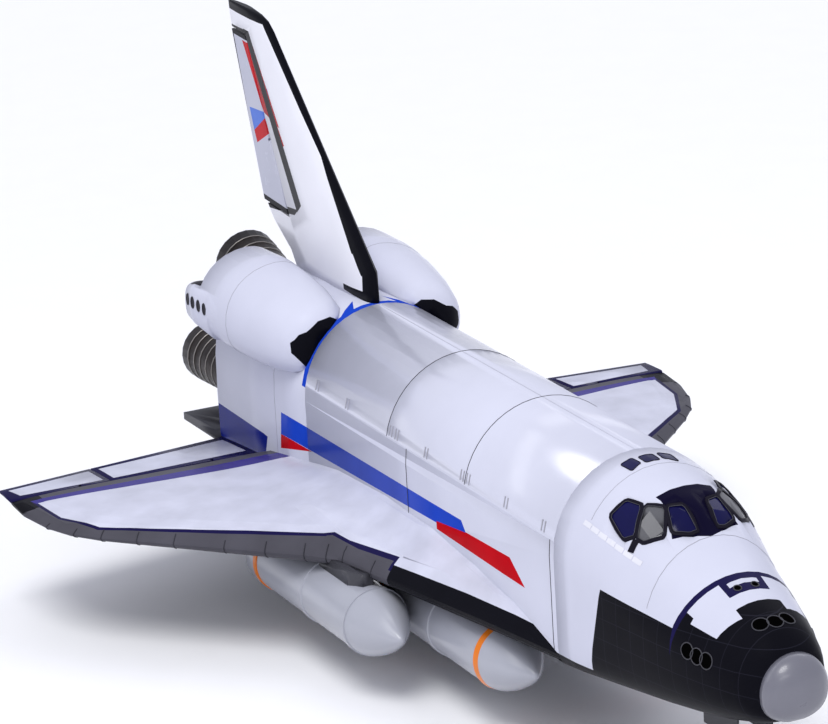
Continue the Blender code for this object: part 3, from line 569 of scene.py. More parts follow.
def aft_layers() -> tuple[Layer, ...]:
    """Paint of the engine section: stripe end, blue corner and blue frame behind the bay.

    Returns:
        The coats in order.
    """
    corner = (beyond(View.SIDE, (29.50, 0.93), (29.73, 0.28), (31.0, 0.5)),
              beyond(View.SIDE, (29.50, 0.93), (32.70, 1.27), (31.0, 0.5)), outboard(2.0))
    hoop = (ahead_of(26.60), above(3.40))
    wedge = outline(View.PLAN, [(1.25, 26.55), (0.50, 27.2), (0.75, 26.55)], above(4.5))
    return (Layer(DEEP_BLUE, (corner,), 0.25), Layer(BLUE, (hoop, wedge), 0.25)) + stripe_layers()


def chevron() -> tuple[Solid, ...]:
    """Two legs of the red chevron, which starts on the fin and ends on the rudder.

    Returns:
        One solid for each leg.
    """
    return (outline(View.SIDE, [(35.80, 12.30), (34.80, 12.30), (32.90, 9.95), (34.21, 10.22)]),
            outline(View.SIDE, [(34.30, 10.25), (33.20, 10.05), (33.35, 9.80), (35.10, 9.00),
                                (35.30, 9.38), (34.14, 10.03)]))


def fin_layers() -> tuple[Layer, ...]:
    """Paint of the fin: black edge, black outline of the rudder and slips of the chevron.

    Returns:
        The coats in order.
    """
    edge = ((beyond(View.SIDE, (27.06, 6.42), (28.15, 7.55), (26.0, 7.0)), above(6.42), below(7.55)),
            (beyond(View.SIDE, (28.15, 7.55), (29.90, 9.66), (27.0, 9.0)), above(7.0), below(9.66)),
            (beyond(View.SIDE, (29.90, 9.66), (33.90, 13.10), (29.0, 11.0)), above(9.66)),
            (ahead_of(27.0), below(6.45)),
            (above(13.16),),
            outline(View.SIDE, [(26.3, 5.95), (28.30, 5.90), (28.25, 5.72), (26.3, 5.60)]))
    hinge = (outline(View.SIDE, [(31.41, 7.71), (35.12, 12.72), (35.60, 12.72), (31.80, 7.40)]),
             outline(View.SIDE, [(31.41, 7.71), (32.00, 7.26), (35.2, 6.85), (35.2, 7.15), (31.7, 7.50)]),
             outline(View.SIDE, [(35.10, 12.72), (35.30, 12.55), (37.2, 12.50), (37.2, 12.64)]))
    blue = (outline(View.SIDE, [(33.78, 11.10), (33.28, 10.32), (33.50, 10.30), (33.95, 11.0)]),
            outline(View.SIDE, [(32.55, 9.20), (32.18, 8.73), (32.30, 8.60), (32.70, 9.15)]))
    red = (outline(View.SIDE, [(33.10, 10.03), (32.57, 9.44), (32.78, 9.35), (33.30, 9.98)]),) + chevron()
    return (Layer(BLUE, blue), Layer(RED, red), Layer(BLACK, edge + hinge, 0.30))


def rudder_layers() -> tuple[Layer, ...]:
    """Paint of the rudder: black outline and a red chevron with a pale blue heart.

    Returns:
        The coats in order.
    """
    rim = ((below(7.32),), (above(12.36),),
           (beyond(View.SIDE, (34.95, 7.3), (36.62, 12.40), (37.5, 9.0)),))
    heart = (outline(View.SIDE, [(34.21, 10.22), (35.60, 10.10), (35.30, 9.36), (34.14, 10.03)]),)
    return (Layer((0.10, 0.20, 0.65), heart), Layer(RED, chevron()), Layer(BLACK, rim, 0.30))


def pod_layers() -> tuple[Layer, ...]:
    """Paint of the rear pods: the black notch at their front.

    Returns:
        The coats in order.
    """
    notch = (outline(View.FRONT, [(1.2, 5.25), (1.57, 5.46), (2.00, 5.40), (2.45, 5.10), (2.45, 3.5),
                                  (1.2, 3.5)], ahead_of(26.75)),
             outline(View.FRONT, [(2.44, 5.12), (2.66, 5.05), (2.90, 4.80), (2.90, 4.48), (2.50, 4.0),
                                  (2.44, 4.0)], ahead_of(26.85)))
    return (Layer(BLACK, notch, 0.30),)


class Coats:
    """Every finish of the craft."""

    # Dark finish. On the pylons it is partly their own dark structure and partly painted shade under the
    # wing; on the window beads and thruster rims it is dark trim.
    PYLON_SHADE_AND_TRIM = Finish("pylon_shade_and_trim", (0.05, 0.05, 0.06), 0.40, shine=0.3, mottling=0.2)
    DOOR_SHELL = Finish("door_shell", WHITE, 0.18)
    NOSE = Finish("nose_shell", WHITE, 0.20, coat=0.0, specular=0.04, layers=nose_layers())
    SIDE = Finish("body_shell", WHITE, 0.20, coat=0.0, specular=0.04, layers=stripe_layers())
    AFT = Finish("engine_section_shell", WHITE, 0.22, coat=0.0, specular=0.04, layers=aft_layers())
    WING = Finish("wing_shell", WHITE, 0.20, coat=0.0, specular=0.04, layers=wing_layers())
    ELEVON = Finish("elevon_shell", NAVY, 0.25, coat=0.0, specular=0.03, layers=elevon_layers())
    FIN = Finish("fin_shell", (0.80, 0.80, 0.85), 0.22, coat=0.0, specular=0.04, layers=fin_layers())
    RUDDER = Finish("rudder_shell", (0.50, 0.51, 0.60), 0.24, coat=0.0, specular=0.03, layers=rudder_layers())
    POD = Finish("pod_shell", WHITE, 0.18, coat=0.0, specular=0.04, layers=pod_layers())
    CARBON = Finish("grey_carbon", (0.15, 0.15, 0.18), 0.32, coat=0.2, mottling=0.12, grain=60.0,
                    relief=0.05)
    TILE = Finish("black_tile", BLACK, 0.45, coat=0.0, specular=0.01, mottling=0.3, tile=TILE_PITCH,
                  joint=0.025,
                  joint_tone=3.5)
    TRIM = Finish("black_trim", (0.010, 0.009, 0.016), 0.35, coat=0.0, specular=0.04,
                  mottling=0.2)
    SEAM = Finish("dark_seam", (0.035, 0.035, 0.045), 0.5, coat=0.0, shine=0.3, mottling=0.3)
    PALE_SEAM = Finish("pale_seam", (0.33, 0.33, 0.38), 0.35, coat=0.1, mottling=0.15)
    GLASS = Finish("blue_glass", (0.006, 0.006, 0.060), 0.10, coat=0.0, specular=0.12, mottling=0.4,
                   relief=0.004)
    # Lighter grey copy of the window glass: painted reflection on the middle panes.
    GLASS_PAINTED_REFLECTION = Finish("glass_painted_reflection", (0.10, 0.10, 0.11), 0.12, coat=0.1, mottling=0.3, relief=0.004)
    NOZZLE = Finish("burnt_nozzle", (0.032, 0.024, 0.022), 0.34, metallic=0.4, shine=0.4, mottling=0.7,
                    grain=9.0, relief=0.25)
    NOZZLE_RING = Finish("nozzle_ring", (0.30, 0.28, 0.26), 0.35, metallic=0.7, coat=0.1, mottling=0.3)
    STEEL = Finish("bright_steel", (0.55, 0.56, 0.58), 0.28, metallic=0.9, coat=0.0, mottling=0.15)
    RUBBER = Finish("tyre_rubber", (0.018, 0.018, 0.018), 0.75, coat=0.0, mottling=0.4, grain=80.0,
                    relief=0.15)
    # Near-black without gloss: painted shade standing for the open thruster mouths.
    THRUSTER_MOUTH_SHADE = Finish("thruster_mouth_painted_shade", (0.002, 0.002, 0.002), 0.6, coat=0.0, specular=0.0,
                  mottling=0.5)
    SQUARE = Finish("raised_square", (0.70, 0.70, 0.76), 0.25, mottling=0.08)


def booster_finish(label: str, bands: Sequence[Pair]) -> Finish:
    """Booster with orange bands, its white darkened as painted shade.

    Args:
        label: Which booster.
        bands: Front and rear station of each band.

    Returns:
        The finish.
    """
    solids = tuple((aft_of(front), ahead_of(rear)) for front, rear in bands)
    # The base is the white paint darkened to about two thirds: painted shade.
    return Finish(f"booster_shell_{label}", (0.36, 0.37, 0.42), 0.20, mottling=0.06,
                  layers=(Layer(ORANGE, solids, 0.25),))


# Shapes


class Surface:
    """Outer skin of some solids, to lay details on."""

    def __init__(self, *nodes: str) -> None:
        """Gathers the solids' faces.

        Args:
            nodes: Names of the solids.
        """
        points: list[Vector] = []
        faces: list[list[int]] = []
        for node in nodes:
            mesh = frame["nodes"][node].data
            base = len(points)
            points += [v.co.copy() for v in mesh.vertices]
            faces += [[base + i for i in polygon.vertices] for polygon in mesh.polygons]
        self.tree = BVHTree.FromPolygons(points, faces)

    def near(self, point: Vector, rise: float = 0.0) -> Vector:
        """Nearest point of the skin, lifted off it.

        Args:
            point: Where to look.
            rise: How far off the skin.

        Returns:
            The lifted point.
        """
        spot, normal, _, _ = self.tree.find_nearest(point)
        return spot + normal * rise

    def facing(self, point: Vector) -> Vector:
        """Direction the skin faces nearest to a point."""
        return self.tree.find_nearest(point)[1]

    def drop(self, point: Vector, facing: Vector, rise: float = 0.0) -> Vector:
        """Point of the skin straight below another one.

        Args:
            point: Where to look.
            facing: The direction that counts as up.
            rise: How far off the skin.

        Returns:
            The lifted point.
        """
        spot = self.tree.ray_cast(point + facing * 0.6, -facing, 1.6)[0]
        return (self.near(point) if spot is None else spot) + facing * rise


def rounded(corners: Sequence[Vector], rounds: int = 2) -> list[Vector]:
    """Closed outline with its corners cut off several times.

    Args:
        corners: The sharp corners.
        rounds: How often they are cut.

    Returns:
        The smoother outline.
    """
    points = list(corners)
    for _ in range(rounds):
        points = [here.lerp(after, share) for here, after in zip(points, points[1:] + points[:1])
                  for share in (0.10, 0.90)]
    return points


def finer(corners: Sequence[Vector], step: float) -> list[Vector]:
    """Closed outline with points no further apart than a step.

    Args:
        corners: The outline.
        step: Longest distance left.

    Returns:
        The finer outline.
    """
    points = []
    for here, after in zip(corners, list(corners[1:]) + [corners[0]]):
        count = max(1, math.ceil((after - here).length / step))
        points += [here.lerp(after, i / count) for i in range(count)]
    return points


def circle(centre: Vector, normal: Vector, radius: float, count: int = 24) -> list[Vector]:
    """Round outline.

    Args:
        centre: Its middle.
        normal: What it faces.
        radius: Its radius.
        count: Its points.

    Returns:
        The outline.
    """
    side = normal.orthogonal().normalized()
    up = normal.normalized().cross(side)
    return [centre + (side * math.cos(2 * math.pi * i / count) + up * math.sin(2 * math.pi * i / count))
            * radius for i in range(count)]


class Draft:
    """Vertices and faces of one piece while it is put together."""

    def __init__(self) -> None:
        """Starts empty."""
        self.points: list[Vector] = []
        self.faces: list[tuple[int, ...]] = []

    def rows(self, rows: Sequence[Sequence[Vector]], wrap: bool = False) -> None:
        """Skin through closed rows of points. A row of one point closes the skin there.

        Args:
            rows: The rows.
            wrap: Whether the last row joins the first.
        """
        starts = []
        for row in rows:
            starts.append(len(self.points))
            self.points += row
        pairs = list(zip(range(len(rows)), range(1, len(rows))))
        if wrap:
            pairs.append((len(rows) - 1, 0))
        for low, high in pairs:
            count = max(len(rows[low]), len(rows[high]))
            for i in range(count):
                j = (i + 1) % count
                a = starts[low] + (i if len(rows[low]) > 1 else 0)
                b = starts[low] + (j if len(rows[low]) > 1 else 0)
                c = starts[high] + (j if len(rows[high]) > 1 else 0)
                d = starts[high] + (i if len(rows[high]) > 1 else 0)
                self.faces.append(tuple(dict.fromkeys((a, b, c, d))))

    def patch(self, edge: Sequence[Vector], skin: Surface, rise: float, rings: int = 4) -> None:
        """Thin raised plate that follows a skin.

        Args:
            edge: Its outline.
            skin: What it lies on.
            rise: How far it stands proud.
            rings: Rows from its middle to its edge.
        """
        middle = sum(edge, Vector()) / len(edge)
        facing = skin.facing(middle)
        shares = [i / rings for i in range(1, rings + 1)]
        rows = [[skin.drop(middle, facing, rise)]]
        rows += [[skin.drop(middle.lerp(p, share), facing, rise) for p in edge] for share in shares]
        rows += [[skin.drop(middle.lerp(p, share), facing, -0.02) for p in edge] for share in shares[::-1]]
        rows.append([skin.drop(middle, facing, -0.02)])
        self.rows(rows)

    def collar(self, edge: Sequence[Vector], skin: Surface, width: float, rise: float) -> None:
        """Flat raised frame round an outline.

        Args:
            edge: Its inner outline.
            skin: What it lies on.
            width: How wide it is.
            rise: How far it stands proud.
        """
        middle = sum(edge, Vector()) / len(edge)
        facing = skin.facing(middle)
        rows = []
        for grow, lift in ((0.0, -0.03), (0.0, rise * 0.7), (0.02, rise), (width - 0.02, rise),
                           (width, -0.02)):
            rows.append([skin.drop(p + (p - middle).normalized() * grow, facing, lift) for p in edge])
        self.rows(rows, wrap=True)

    def piece(self, name: str, finish: Finish, body: str) -> bpy.types.Object:
        """Turns the draft into a piece on a body.

        Args:
            name: The piece's name.
            finish: Its finish.
            body: The body it moves with.

        Returns:
            The piece.
        """
        mesh = bpy.data.meshes.new(name)
        mesh.from_pydata(self.points, [], self.faces)
        bm = bmesh.new()
        bm.from_mesh(mesh)
        bmesh.ops.remove_doubles(bm, verts=bm.verts, dist=1e-5)
        bmesh.ops.recalc_face_normals(bm, faces=bm.faces)
        bm.to_mesh(mesh)
        bm.free()
        mesh.shade_smooth()
        mesh.set_sharp_from_angle(angle=math.radians(40))
        return settle(name, mesh, finish, body)


def settle(name: str, mesh: bpy.types.Mesh, finish: Finish, body: str) -> bpy.types.Object:
    """Makes an object of a mesh, dresses it and rides it on a body.

    Args:
        name: Its name.
        mesh: Its mesh.
        finish: Its finish.
        body: The body it moves with.

    Returns:
        The piece.
    """
    obj = bpy.data.objects.new(name, mesh)
    bpy.context.scene.collection.objects.link(obj)
    mesh.materials.clear()
    mesh.materials.append(finish.material())
    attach(obj, body)
    LOG.info("%s: %d faces on %s", name, len(mesh.polygons), body)
    return obj


def skin_of(node: str, finish: Finish, sharp: float = 32.0) -> bpy.types.Object:
    """Smooth-shaded copy of a solid that stands for it.

    Args:
        node: The solid.
        finish: The copy's finish.
        sharp: Angle in degrees above which an edge stays sharp.

    Returns:
        The piece.
    """
    source = frame["nodes"][node]
    mesh = source.data.copy()
    mesh.name = f"{node}_skin"
    bm = bmesh.new()
    bm.from_mesh(mesh)
    bmesh.ops.remove_doubles(bm, verts=bm.verts, dist=1e-4)
    bm.to_mesh(mesh)
    bm.free()
    mesh.shade_smooth()
    mesh.set_sharp_from_angle(angle=math.radians(sharp))
    obj = settle(f"{node}_skin", mesh, finish, source["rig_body"])
    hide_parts(node)
    return obj


# Repeated and path-following details


class Tree:
    """Geometry node tree with named inputs."""

    def __init__(self, name: str) -> None:
        """Starts a tree with a geometry input and output.

        Args:
            name: The tree's name.
        """
        self.tree = bpy.data.node_groups.new(name, "GeometryNodeTree")
        self.inputs: dict[str, str] = {}
        self.socket("Geometry", "NodeSocketGeometry")
        self.tree.interface.new_socket(name="Geometry", in_out="OUTPUT", socket_type="NodeSocketGeometry")
        self.start = self.tree.nodes.new("NodeGroupInput")
        self.end = self.tree.nodes.new("NodeGroupOutput")

    def socket(self, name: str, kind: str, value: object = None) -> None:
        """Adds a named input.

        Args:
            name: Its name.
            kind: Its socket type.
            value: Its usual value.
        """
        made = self.tree.interface.new_socket(name=name, in_out="INPUT", socket_type=kind)
        if value is not None:
            made.default_value = value
        self.inputs[name] = made.identifier

    def node(self, kind: str, links: dict[str, bpy.types.NodeSocket], **settings: object) -> bpy.types.Node:
        """Adds a node.

        Args:
            kind: Its type.
            links: Sockets for its named inputs.
            settings: Its properties.

        Returns:
            The node.
        """
        made = self.tree.nodes.new(kind)
        for key, value in settings.items():
            setattr(made, key, value)
        for key, value in links.items():
            self.tree.links.new(value, made.inputs[key])
        return made

    def close(self, geometry: bpy.types.NodeSocket) -> None:
        """Realizes the instances, gives them the material input and ends the tree.

        Args:
            geometry: What leaves the tree.
        """
        real = self.node("GeometryNodeRealizeInstances", {"Geometry": geometry})
        shown = self.node("GeometryNodeSetMaterial", {"Geometry": real.outputs[0],
                                                      "Material": self.start.outputs["Material"]})
        self.tree.links.new(shown.outputs[0], self.end.inputs[0])

    def run(self, name: str, mesh: bpy.types.Mesh, values: dict[str, object], finish: Finish,
            body: str) -> bpy.types.Object:
        """Runs the tree over a mesh and keeps the result as a piece.

        Args:
            name: The piece's name.
            mesh: What the tree works on.
            values: Its named sizes.
            finish: The piece's finish.
            body: The body it moves with.

        Returns:
            The piece.
        """
        seed = bpy.data.objects.new(f"{name}_seed", mesh)
        bpy.context.scene.collection.objects.link(seed)
        modifier = seed.modifiers.new("pattern", "NODES")
        modifier.node_group = self.tree
        for key, value in {**values, "Material": finish.material()}.items():
            modifier[self.inputs[key]] = value
        graph = bpy.context.evaluated_depsgraph_get()
        result = bpy.data.meshes.new_from_object(seed.evaluated_get(graph))
        seed.modifiers.clear()
        bpy.data.objects.remove(seed)
        result.name = name
        return settle(name, result, finish, body)


class Beads:
    """Round beads that follow paths, such as seams, rims and rings."""

    tree: Tree | None = None

    def __init__(self) -> None:
        """Starts without paths."""
        self.points: list[Vector] = []
        self.edges: list[tuple[int, int]] = []

    def loop(self, points: Sequence[Vector], closed: bool = True) -> None:
        """Adds a path through points.

        Args:
            points: The path.
            closed: Whether its ends join.
        """
        base, count = len(self.points), len(points)
        self.points += points
        last = count if closed else count - 1
        self.edges += [(base + i, base + (i + 1) % count) for i in range(last)]

    def section(self, node: str, point: Vector, normal: Vector,
                keep: Callable[[Vector], bool] = lambda spot: True) -> None:
        """Adds the line where a plane cuts a solid.

        Args:
            node: The solid.
            point: A point of the plane.
            normal: The plane's normal.
            keep: Which parts of the line stay, by their middle.
        """
        bm = bmesh.new()
        bm.from_mesh(frame["nodes"][node].data)
        bmesh.ops.remove_doubles(bm, verts=bm.verts, dist=1e-4)
        cut = bmesh.ops.bisect_plane(bm, geom=bm.verts[:] + bm.edges[:] + bm.faces[:], plane_co=point,
                                     plane_no=normal)["geom_cut"]
        numbers: dict[tuple[float, ...], int] = {}
        for edge in [item for item in cut if isinstance(item, bmesh.types.BMEdge)]:
            ends = [v.co.copy() for v in edge.verts]
            if not keep((ends[0] + ends[1]) / 2):
                continue
            pair = []
            for end in ends:
                key = tuple(round(c, 4) for c in end)
                if key not in numbers:
                    numbers[key] = len(self.points)
                    self.points.append(end)
                pair.append(numbers[key])
            if pair[0] != pair[1]:
                self.edges.append((pair[0], pair[1]))
        bm.free()

    @classmethod
    def pattern(cls) -> Tree:
        """Tree that sweeps a round profile along each path, built once.

        Returns:
            The tree.
        """
        if cls.tree is None:
            tree = Tree("bead_along_path")
            tree.socket("Radius", "NodeSocketFloat", 0.012)
            tree.socket("Sides", "NodeSocketInt", 6)
            tree.socket("Material", "NodeSocketMaterial")
            curve = tree.node("GeometryNodeMeshToCurve", {"Mesh": tree.start.outputs["Geometry"]})
            profile = tree.node("GeometryNodeCurvePrimitiveCircle", {
                "Resolution": tree.start.outputs["Sides"], "Radius": tree.start.outputs["Radius"]})
            swept = tree.node("GeometryNodeCurveToMesh", {"Curve": curve.outputs[0],
                                                          "Profile Curve": profile.outputs[0]})
            swept.inputs["Fill Caps"].default_value = True
            tree.close(swept.outputs[0])
            cls.tree = tree
        return cls.tree

    def piece(self, name: str, radius: float, finish: Finish, body: str,
              sides: int = 6) -> bpy.types.Object:
        """Sweeps the beads.

        Args:
            name: The piece's name.
            radius: The bead's radius.
            finish: Its finish.
            body: The body it moves with.
            sides: Corners of its profile.

        Returns:
            The piece.
        """
        mesh = bpy.data.meshes.new(f"{name}_paths")
        mesh.from_pydata(self.points, self.edges, [])
        mesh.validate()
        return self.pattern().run(name, mesh, {"Radius": radius, "Sides": sides}, finish, body)


class Item(Enum):
    """What is repeated at each point."""

    BLOCK = "GeometryNodeMeshCube"
    STUD = "GeometryNodeMeshCylinder"


class Repeats:
    """One small item set at many points, each turned to face out."""

    trees: dict[Item, Tree] = {}

    def __init__(self, item: Item) -> None:
        """Starts without points.

        Args:
            item: What stands at each point.
        """
        self.item = item
        self.points: list[Vector] = []
        self.facing: list[Vector] = []

    def add(self, point: Vector, facing: Vector) -> None:
        """Adds an item."""
        self.points.append(point)
        self.facing.append(facing.normalized())

    def pattern(self) -> Tree:
        """Tree that sets the item at each point, built once for each kind.

        Returns:
            The tree.
        """
        if self.item not in self.trees:
            tree = Tree(f"{self.item.name.lower()}_at_points")
            tree.socket("Width", "NodeSocketFloat", 0.05)
            tree.socket("Length", "NodeSocketFloat", 0.05)
            tree.socket("Height", "NodeSocketFloat", 0.05)
            tree.socket("Material", "NodeSocketMaterial")
            if self.item is Item.BLOCK:
                size = tree.node("ShaderNodeCombineXYZ", {"X": tree.start.outputs["Width"],
                                                          "Y": tree.start.outputs["Length"],
                                                          "Z": tree.start.outputs["Height"]})
                shape = tree.node(self.item.value, {"Size": size.outputs[0]})
            else:
                shape = tree.node(self.item.value, {"Radius": tree.start.outputs["Width"],
                                                    "Depth": tree.start.outputs["Height"]})
                shape.inputs["Vertices"].default_value = 8
            facing = tree.node("GeometryNodeInputNamedAttribute", {}, data_type="FLOAT_VECTOR")
            facing.inputs["Name"].default_value = "facing"
            turn = tree.node("FunctionNodeAlignRotationToVector", {"Vector": facing.outputs[0]}, axis="Z")
            spread = tree.node("GeometryNodeInstanceOnPoints", {
                "Points": tree.start.outputs["Geometry"], "Instance": shape.outputs["Mesh"],
                "Rotation": turn.outputs[0]})
            tree.close(spread.outputs[0])
            self.trees[self.item] = tree
        return self.trees[self.item]

    def piece(self, name: str, size: Colour, finish: Finish, body: str) -> bpy.types.Object:
        """Sets the items.

        Args:
            name: The piece's name.
            size: Width (a stud's radius), length and height of an item.
            finish: Its finish.
            body: The body it moves with.

        Returns:
            The piece.
        """
        mesh = bpy.data.meshes.new(f"{name}_points")
        mesh.from_pydata(self.points, [], [])
        layer = mesh.attributes.new("facing", "FLOAT_VECTOR", "POINT")
        layer.data.foreach_set("vector", [c for v in self.facing for c in v])
        return self.pattern().run(name, mesh, dict(zip(("Width", "Length", "Height"), size)), finish, body)


# Sub-assemblies


@dataclass
class Nose:
    """Nose section with its windows, thrusters and small tiles."""

    collar_width: float = 0.12
    collar_rise: float = 0.035
    thruster_radius: float = 0.23
    square_count: int = 7
    square_corners: tuple[Colour, ...] = ((0.18, 0.03, -0.04), (-0.17, -0.02, -0.10),
                                          (-0.20, -0.08, 0.04), (0.15, -0.03, 0.10))
    panes: dict[str, list[Colour]] = field(default_factory=lambda: {
        "front": [(5.95, 0.76, 5.06), (5.77, 0.37, 5.08), (5.12, 0.32, 4.55), (5.13, 0.55, 4.52),
                  (5.36, 0.93, 4.55)],
        "middle": [(6.44, 1.17, 5.03), (5.98, 0.84, 5.04), (5.44, 1.18, 4.46), (5.79, 1.60, 4.27),
                   (6.02, 1.67, 4.34)],
        "side": [(7.27, 1.83, 4.62), (7.12, 1.40, 5.02), (6.56, 1.25, 5.01), (6.13, 1.71, 4.37),
                 (6.42, 1.90, 4.23)],
    })

    def build(self) -> None:
        """Dresses the nose."""
        self.skin = Surface("forward_fuselage", *(f"window_{label}_{name}" for label in self.panes
                                                  for name in SIDES))
        skin_of("forward_fuselage", Coats.NOSE, 30.0)
        skin_of("nose_cap", Coats.CARBON, 60.0)
        self.windows()
        self.overhead_windows()
        self.thrusters()
        self.squares()

    def windows(self) -> None:
        """Six panes in dark raised frames with a fine bead round each."""
        collars, beads = Draft(), Beads()
        for label, corners in self.panes.items():
            for name, side in SIDES.items():
                # The middle panes get the lighter glass, a painted reflection.
                finish = Coats.GLASS_PAINTED_REFLECTION if label == "middle" else Coats.GLASS
                skin_of(f"window_{label}_{name}", finish, 20.0)
                edge = finer(rounded([place(*corner, side) for corner in corners], 1), 0.06)
                collars.collar(edge, self.skin, self.collar_width, self.collar_rise)
                facing = self.skin.facing(sum(edge, Vector()) / len(edge))
                beads.loop([self.skin.drop(p, facing, self.collar_rise) for p in edge])
        for side in SIDES.values():
            strut = [place(6.12, 1.72, 4.28, side), place(5.93, 1.66, 4.24, side),
                     place(5.93, 1.88, 3.95, side), place(6.12, 1.94, 3.95, side)]
            collars.patch(finer(strut, 0.08), self.skin, self.collar_rise * 0.8, 3)
        collars.piece("window_frames", Coats.TRIM, "orbiter")
        beads.piece("window_frame_beads", 0.010, Coats.PYLON_SHADE_AND_TRIM, "orbiter")

    def overhead_windows(self) -> None:
        """Three dark panes on the roof of the cabin."""
        glass, beads = Draft(), Beads()
        outer = [(8.64, 0.80), (8.70, 0.38), (8.22, 0.34), (8.02, 0.76)]
        centre = [(8.66, 0.22), (8.66, -0.22), (8.16, -0.22), (8.16, 0.22)]
        for corners, side in ((outer, 1), (outer, -1), (centre, 1)):
            edge = finer(rounded([place(s, a, 5.55, side) for s, a in corners], 2), 0.08)
            glass.patch(edge, self.skin, 0.012)
            beads.loop([self.skin.near(p, 0.012) for p in edge])
        glass.piece("overhead_windows", Coats.GLASS, "orbiter")
        beads.piece("overhead_window_rims", 0.014, Coats.TRIM, "orbiter")

    def thrusters(self) -> None:
        """Thruster mouths as flat discs in painted shade, with a metal rim, on top and on both sides."""
        mouths, rims = Draft(), Beads()
        spots = [(place(1.56, 0.41, 2.96), Vector((0.25, -0.31, 0.9)), self.thruster_radius),
                 (place(1.47, 0.0, 3.0), Vector((0, -0.3, 0.95)), self.thruster_radius),
                 (place(1.56, -0.41, 2.96), Vector((-0.25, -0.31, 0.9)), self.thruster_radius),
                 (place(3.02, 0.27, 3.51), Vector((0, -0.35, 0.93)), 0.11),
                 (place(3.02, -0.27, 3.51), Vector((0, -0.35, 0.93)), 0.11)]
        for side in SIDES.values():
            for s, a, h in ((3.09, 1.84, 2.01), (2.72, 1.75, 1.95), (2.36, 1.66, 1.92)):
                spots.append((place(s, a, h, side), Vector((side * 0.94, -0.25, 0.25)),
                              self.thruster_radius))
        for centre, normal, radius in spots:
            edge = circle(centre, normal, radius)
            mouths.patch(edge, self.skin, 0.006)
            rims.loop([self.skin.near(p, 0.006) for p in edge])
        # The flat discs stand for the open mouths in painted shade.
        mouths.piece("thruster_mouths", Coats.THRUSTER_MOUTH_SHADE, "orbiter")
        rims.piece("thruster_rims", 0.018, Coats.PYLON_SHADE_AND_TRIM, "orbiter")

    def squares(self) -> None:
        """Row of seven small raised squares below the side windows."""
        squares = Draft()
        for side in SIDES.values():
            for i in range(self.square_count):
                t = i / (self.square_count - 1)
                s, a, h = 7.97 - 2.25 * t, 2.22 - 0.32 * t, 4.24 - 0.46 * t
                corners = [place(s + ds, a + da, h + dh, side) for ds, da, dh in self.square_corners]
                squares.patch(finer(corners, 0.15), self.skin, 0.012, 2)
        squares.piece("raised_squares", Coats.SQUARE, "orbiter")


@dataclass
class Body:
    """Mid body, engine section, bay doors and their seams."""

    door_joints: tuple[float, ...] = (15.00, 20.35)
    hinge_stations: tuple[float, ...] = (9.98, 12.35, 14.82, 15.21, 17.66, 19.70, 20.11, 23.27, 25.49)
    seam_radius: float = 0.014

    def build(self) -> None:
        """Dresses the body."""
        skin_of("mid_fuselage", Coats.SIDE)
        skin_of("aft_fuselage", Coats.AFT, 40.0)
        self.doors()
        self.seams()

    def doors(self) -> None:
        """Two white doors with panel joints and hinge straps."""
        for name, side in SIDES.items():
            body = {"right": "starboard_bay_door", "left": "port_bay_door"}[name]
            node = f"bay_door_{name}"
            skin_of(node, Coats.DOOR_SHELL, 40.0)
            joints = Beads()
            for station in self.door_joints:
                joints.section(node, place(station), Vector((0, 1, 0)),
                               lambda spot: Vector((spot.x, spot.z - DATUM_Z - 2.97)).length > 2.6)
            joints.piece(f"door_joints_{name}", self.seam_radius, Coats.SEAM, body)
            straps = Repeats(Item.BLOCK)
            skin = Surface(node)
            for station in self.hinge_stations:
                for shift in (-0.09, 0.09):
                    spot = skin.near(place(station + shift, 2.75, 3.72, side), 0.0)
                    straps.add(spot, Vector((side * 0.97, 0, 0.25)))
            straps.piece(f"door_straps_{name}", (0.32, 0.05, 0.03), Coats.PALE_SEAM, body)

    def seams(self) -> None:
        """Fine joint lines of the fixed body."""
        dark, pale = Beads(), Beads()
        for station, low in ((18.95, 1.0), (9.50, 0.2)):
            dark.section("mid_fuselage", place(station), Vector((0, 1, 0)),
                         lambda spot, low=low: low < spot.z - DATUM_Z < 3.45 and abs(spot.x) > 2.6)
        pale.section("aft_fuselage", place(28.75), Vector((0, 1, 0)),
                     lambda spot: 0.3 < spot.z - DATUM_Z < 3.9 and abs(spot.x) > 2.5)
        pale.section("forward_fuselage", place(7.9), Vector((0, 1, 0)),
                     lambda spot: spot.z - DATUM_Z > 4.3)
        pale.section("forward_fuselage", place(4.9), Vector((0, 1, 0)),
                     lambda spot: spot.z - DATUM_Z > 2.6)
        for name in SIDES:
            pale.section(f"rear_pod_{name}", place(30.09), Vector((0, 1, 0)))
        dark.piece("body_seams", self.seam_radius, Coats.SEAM, "orbiter")
        pale.piece("body_fine_seams", 0.009, Coats.PALE_SEAM, "orbiter")


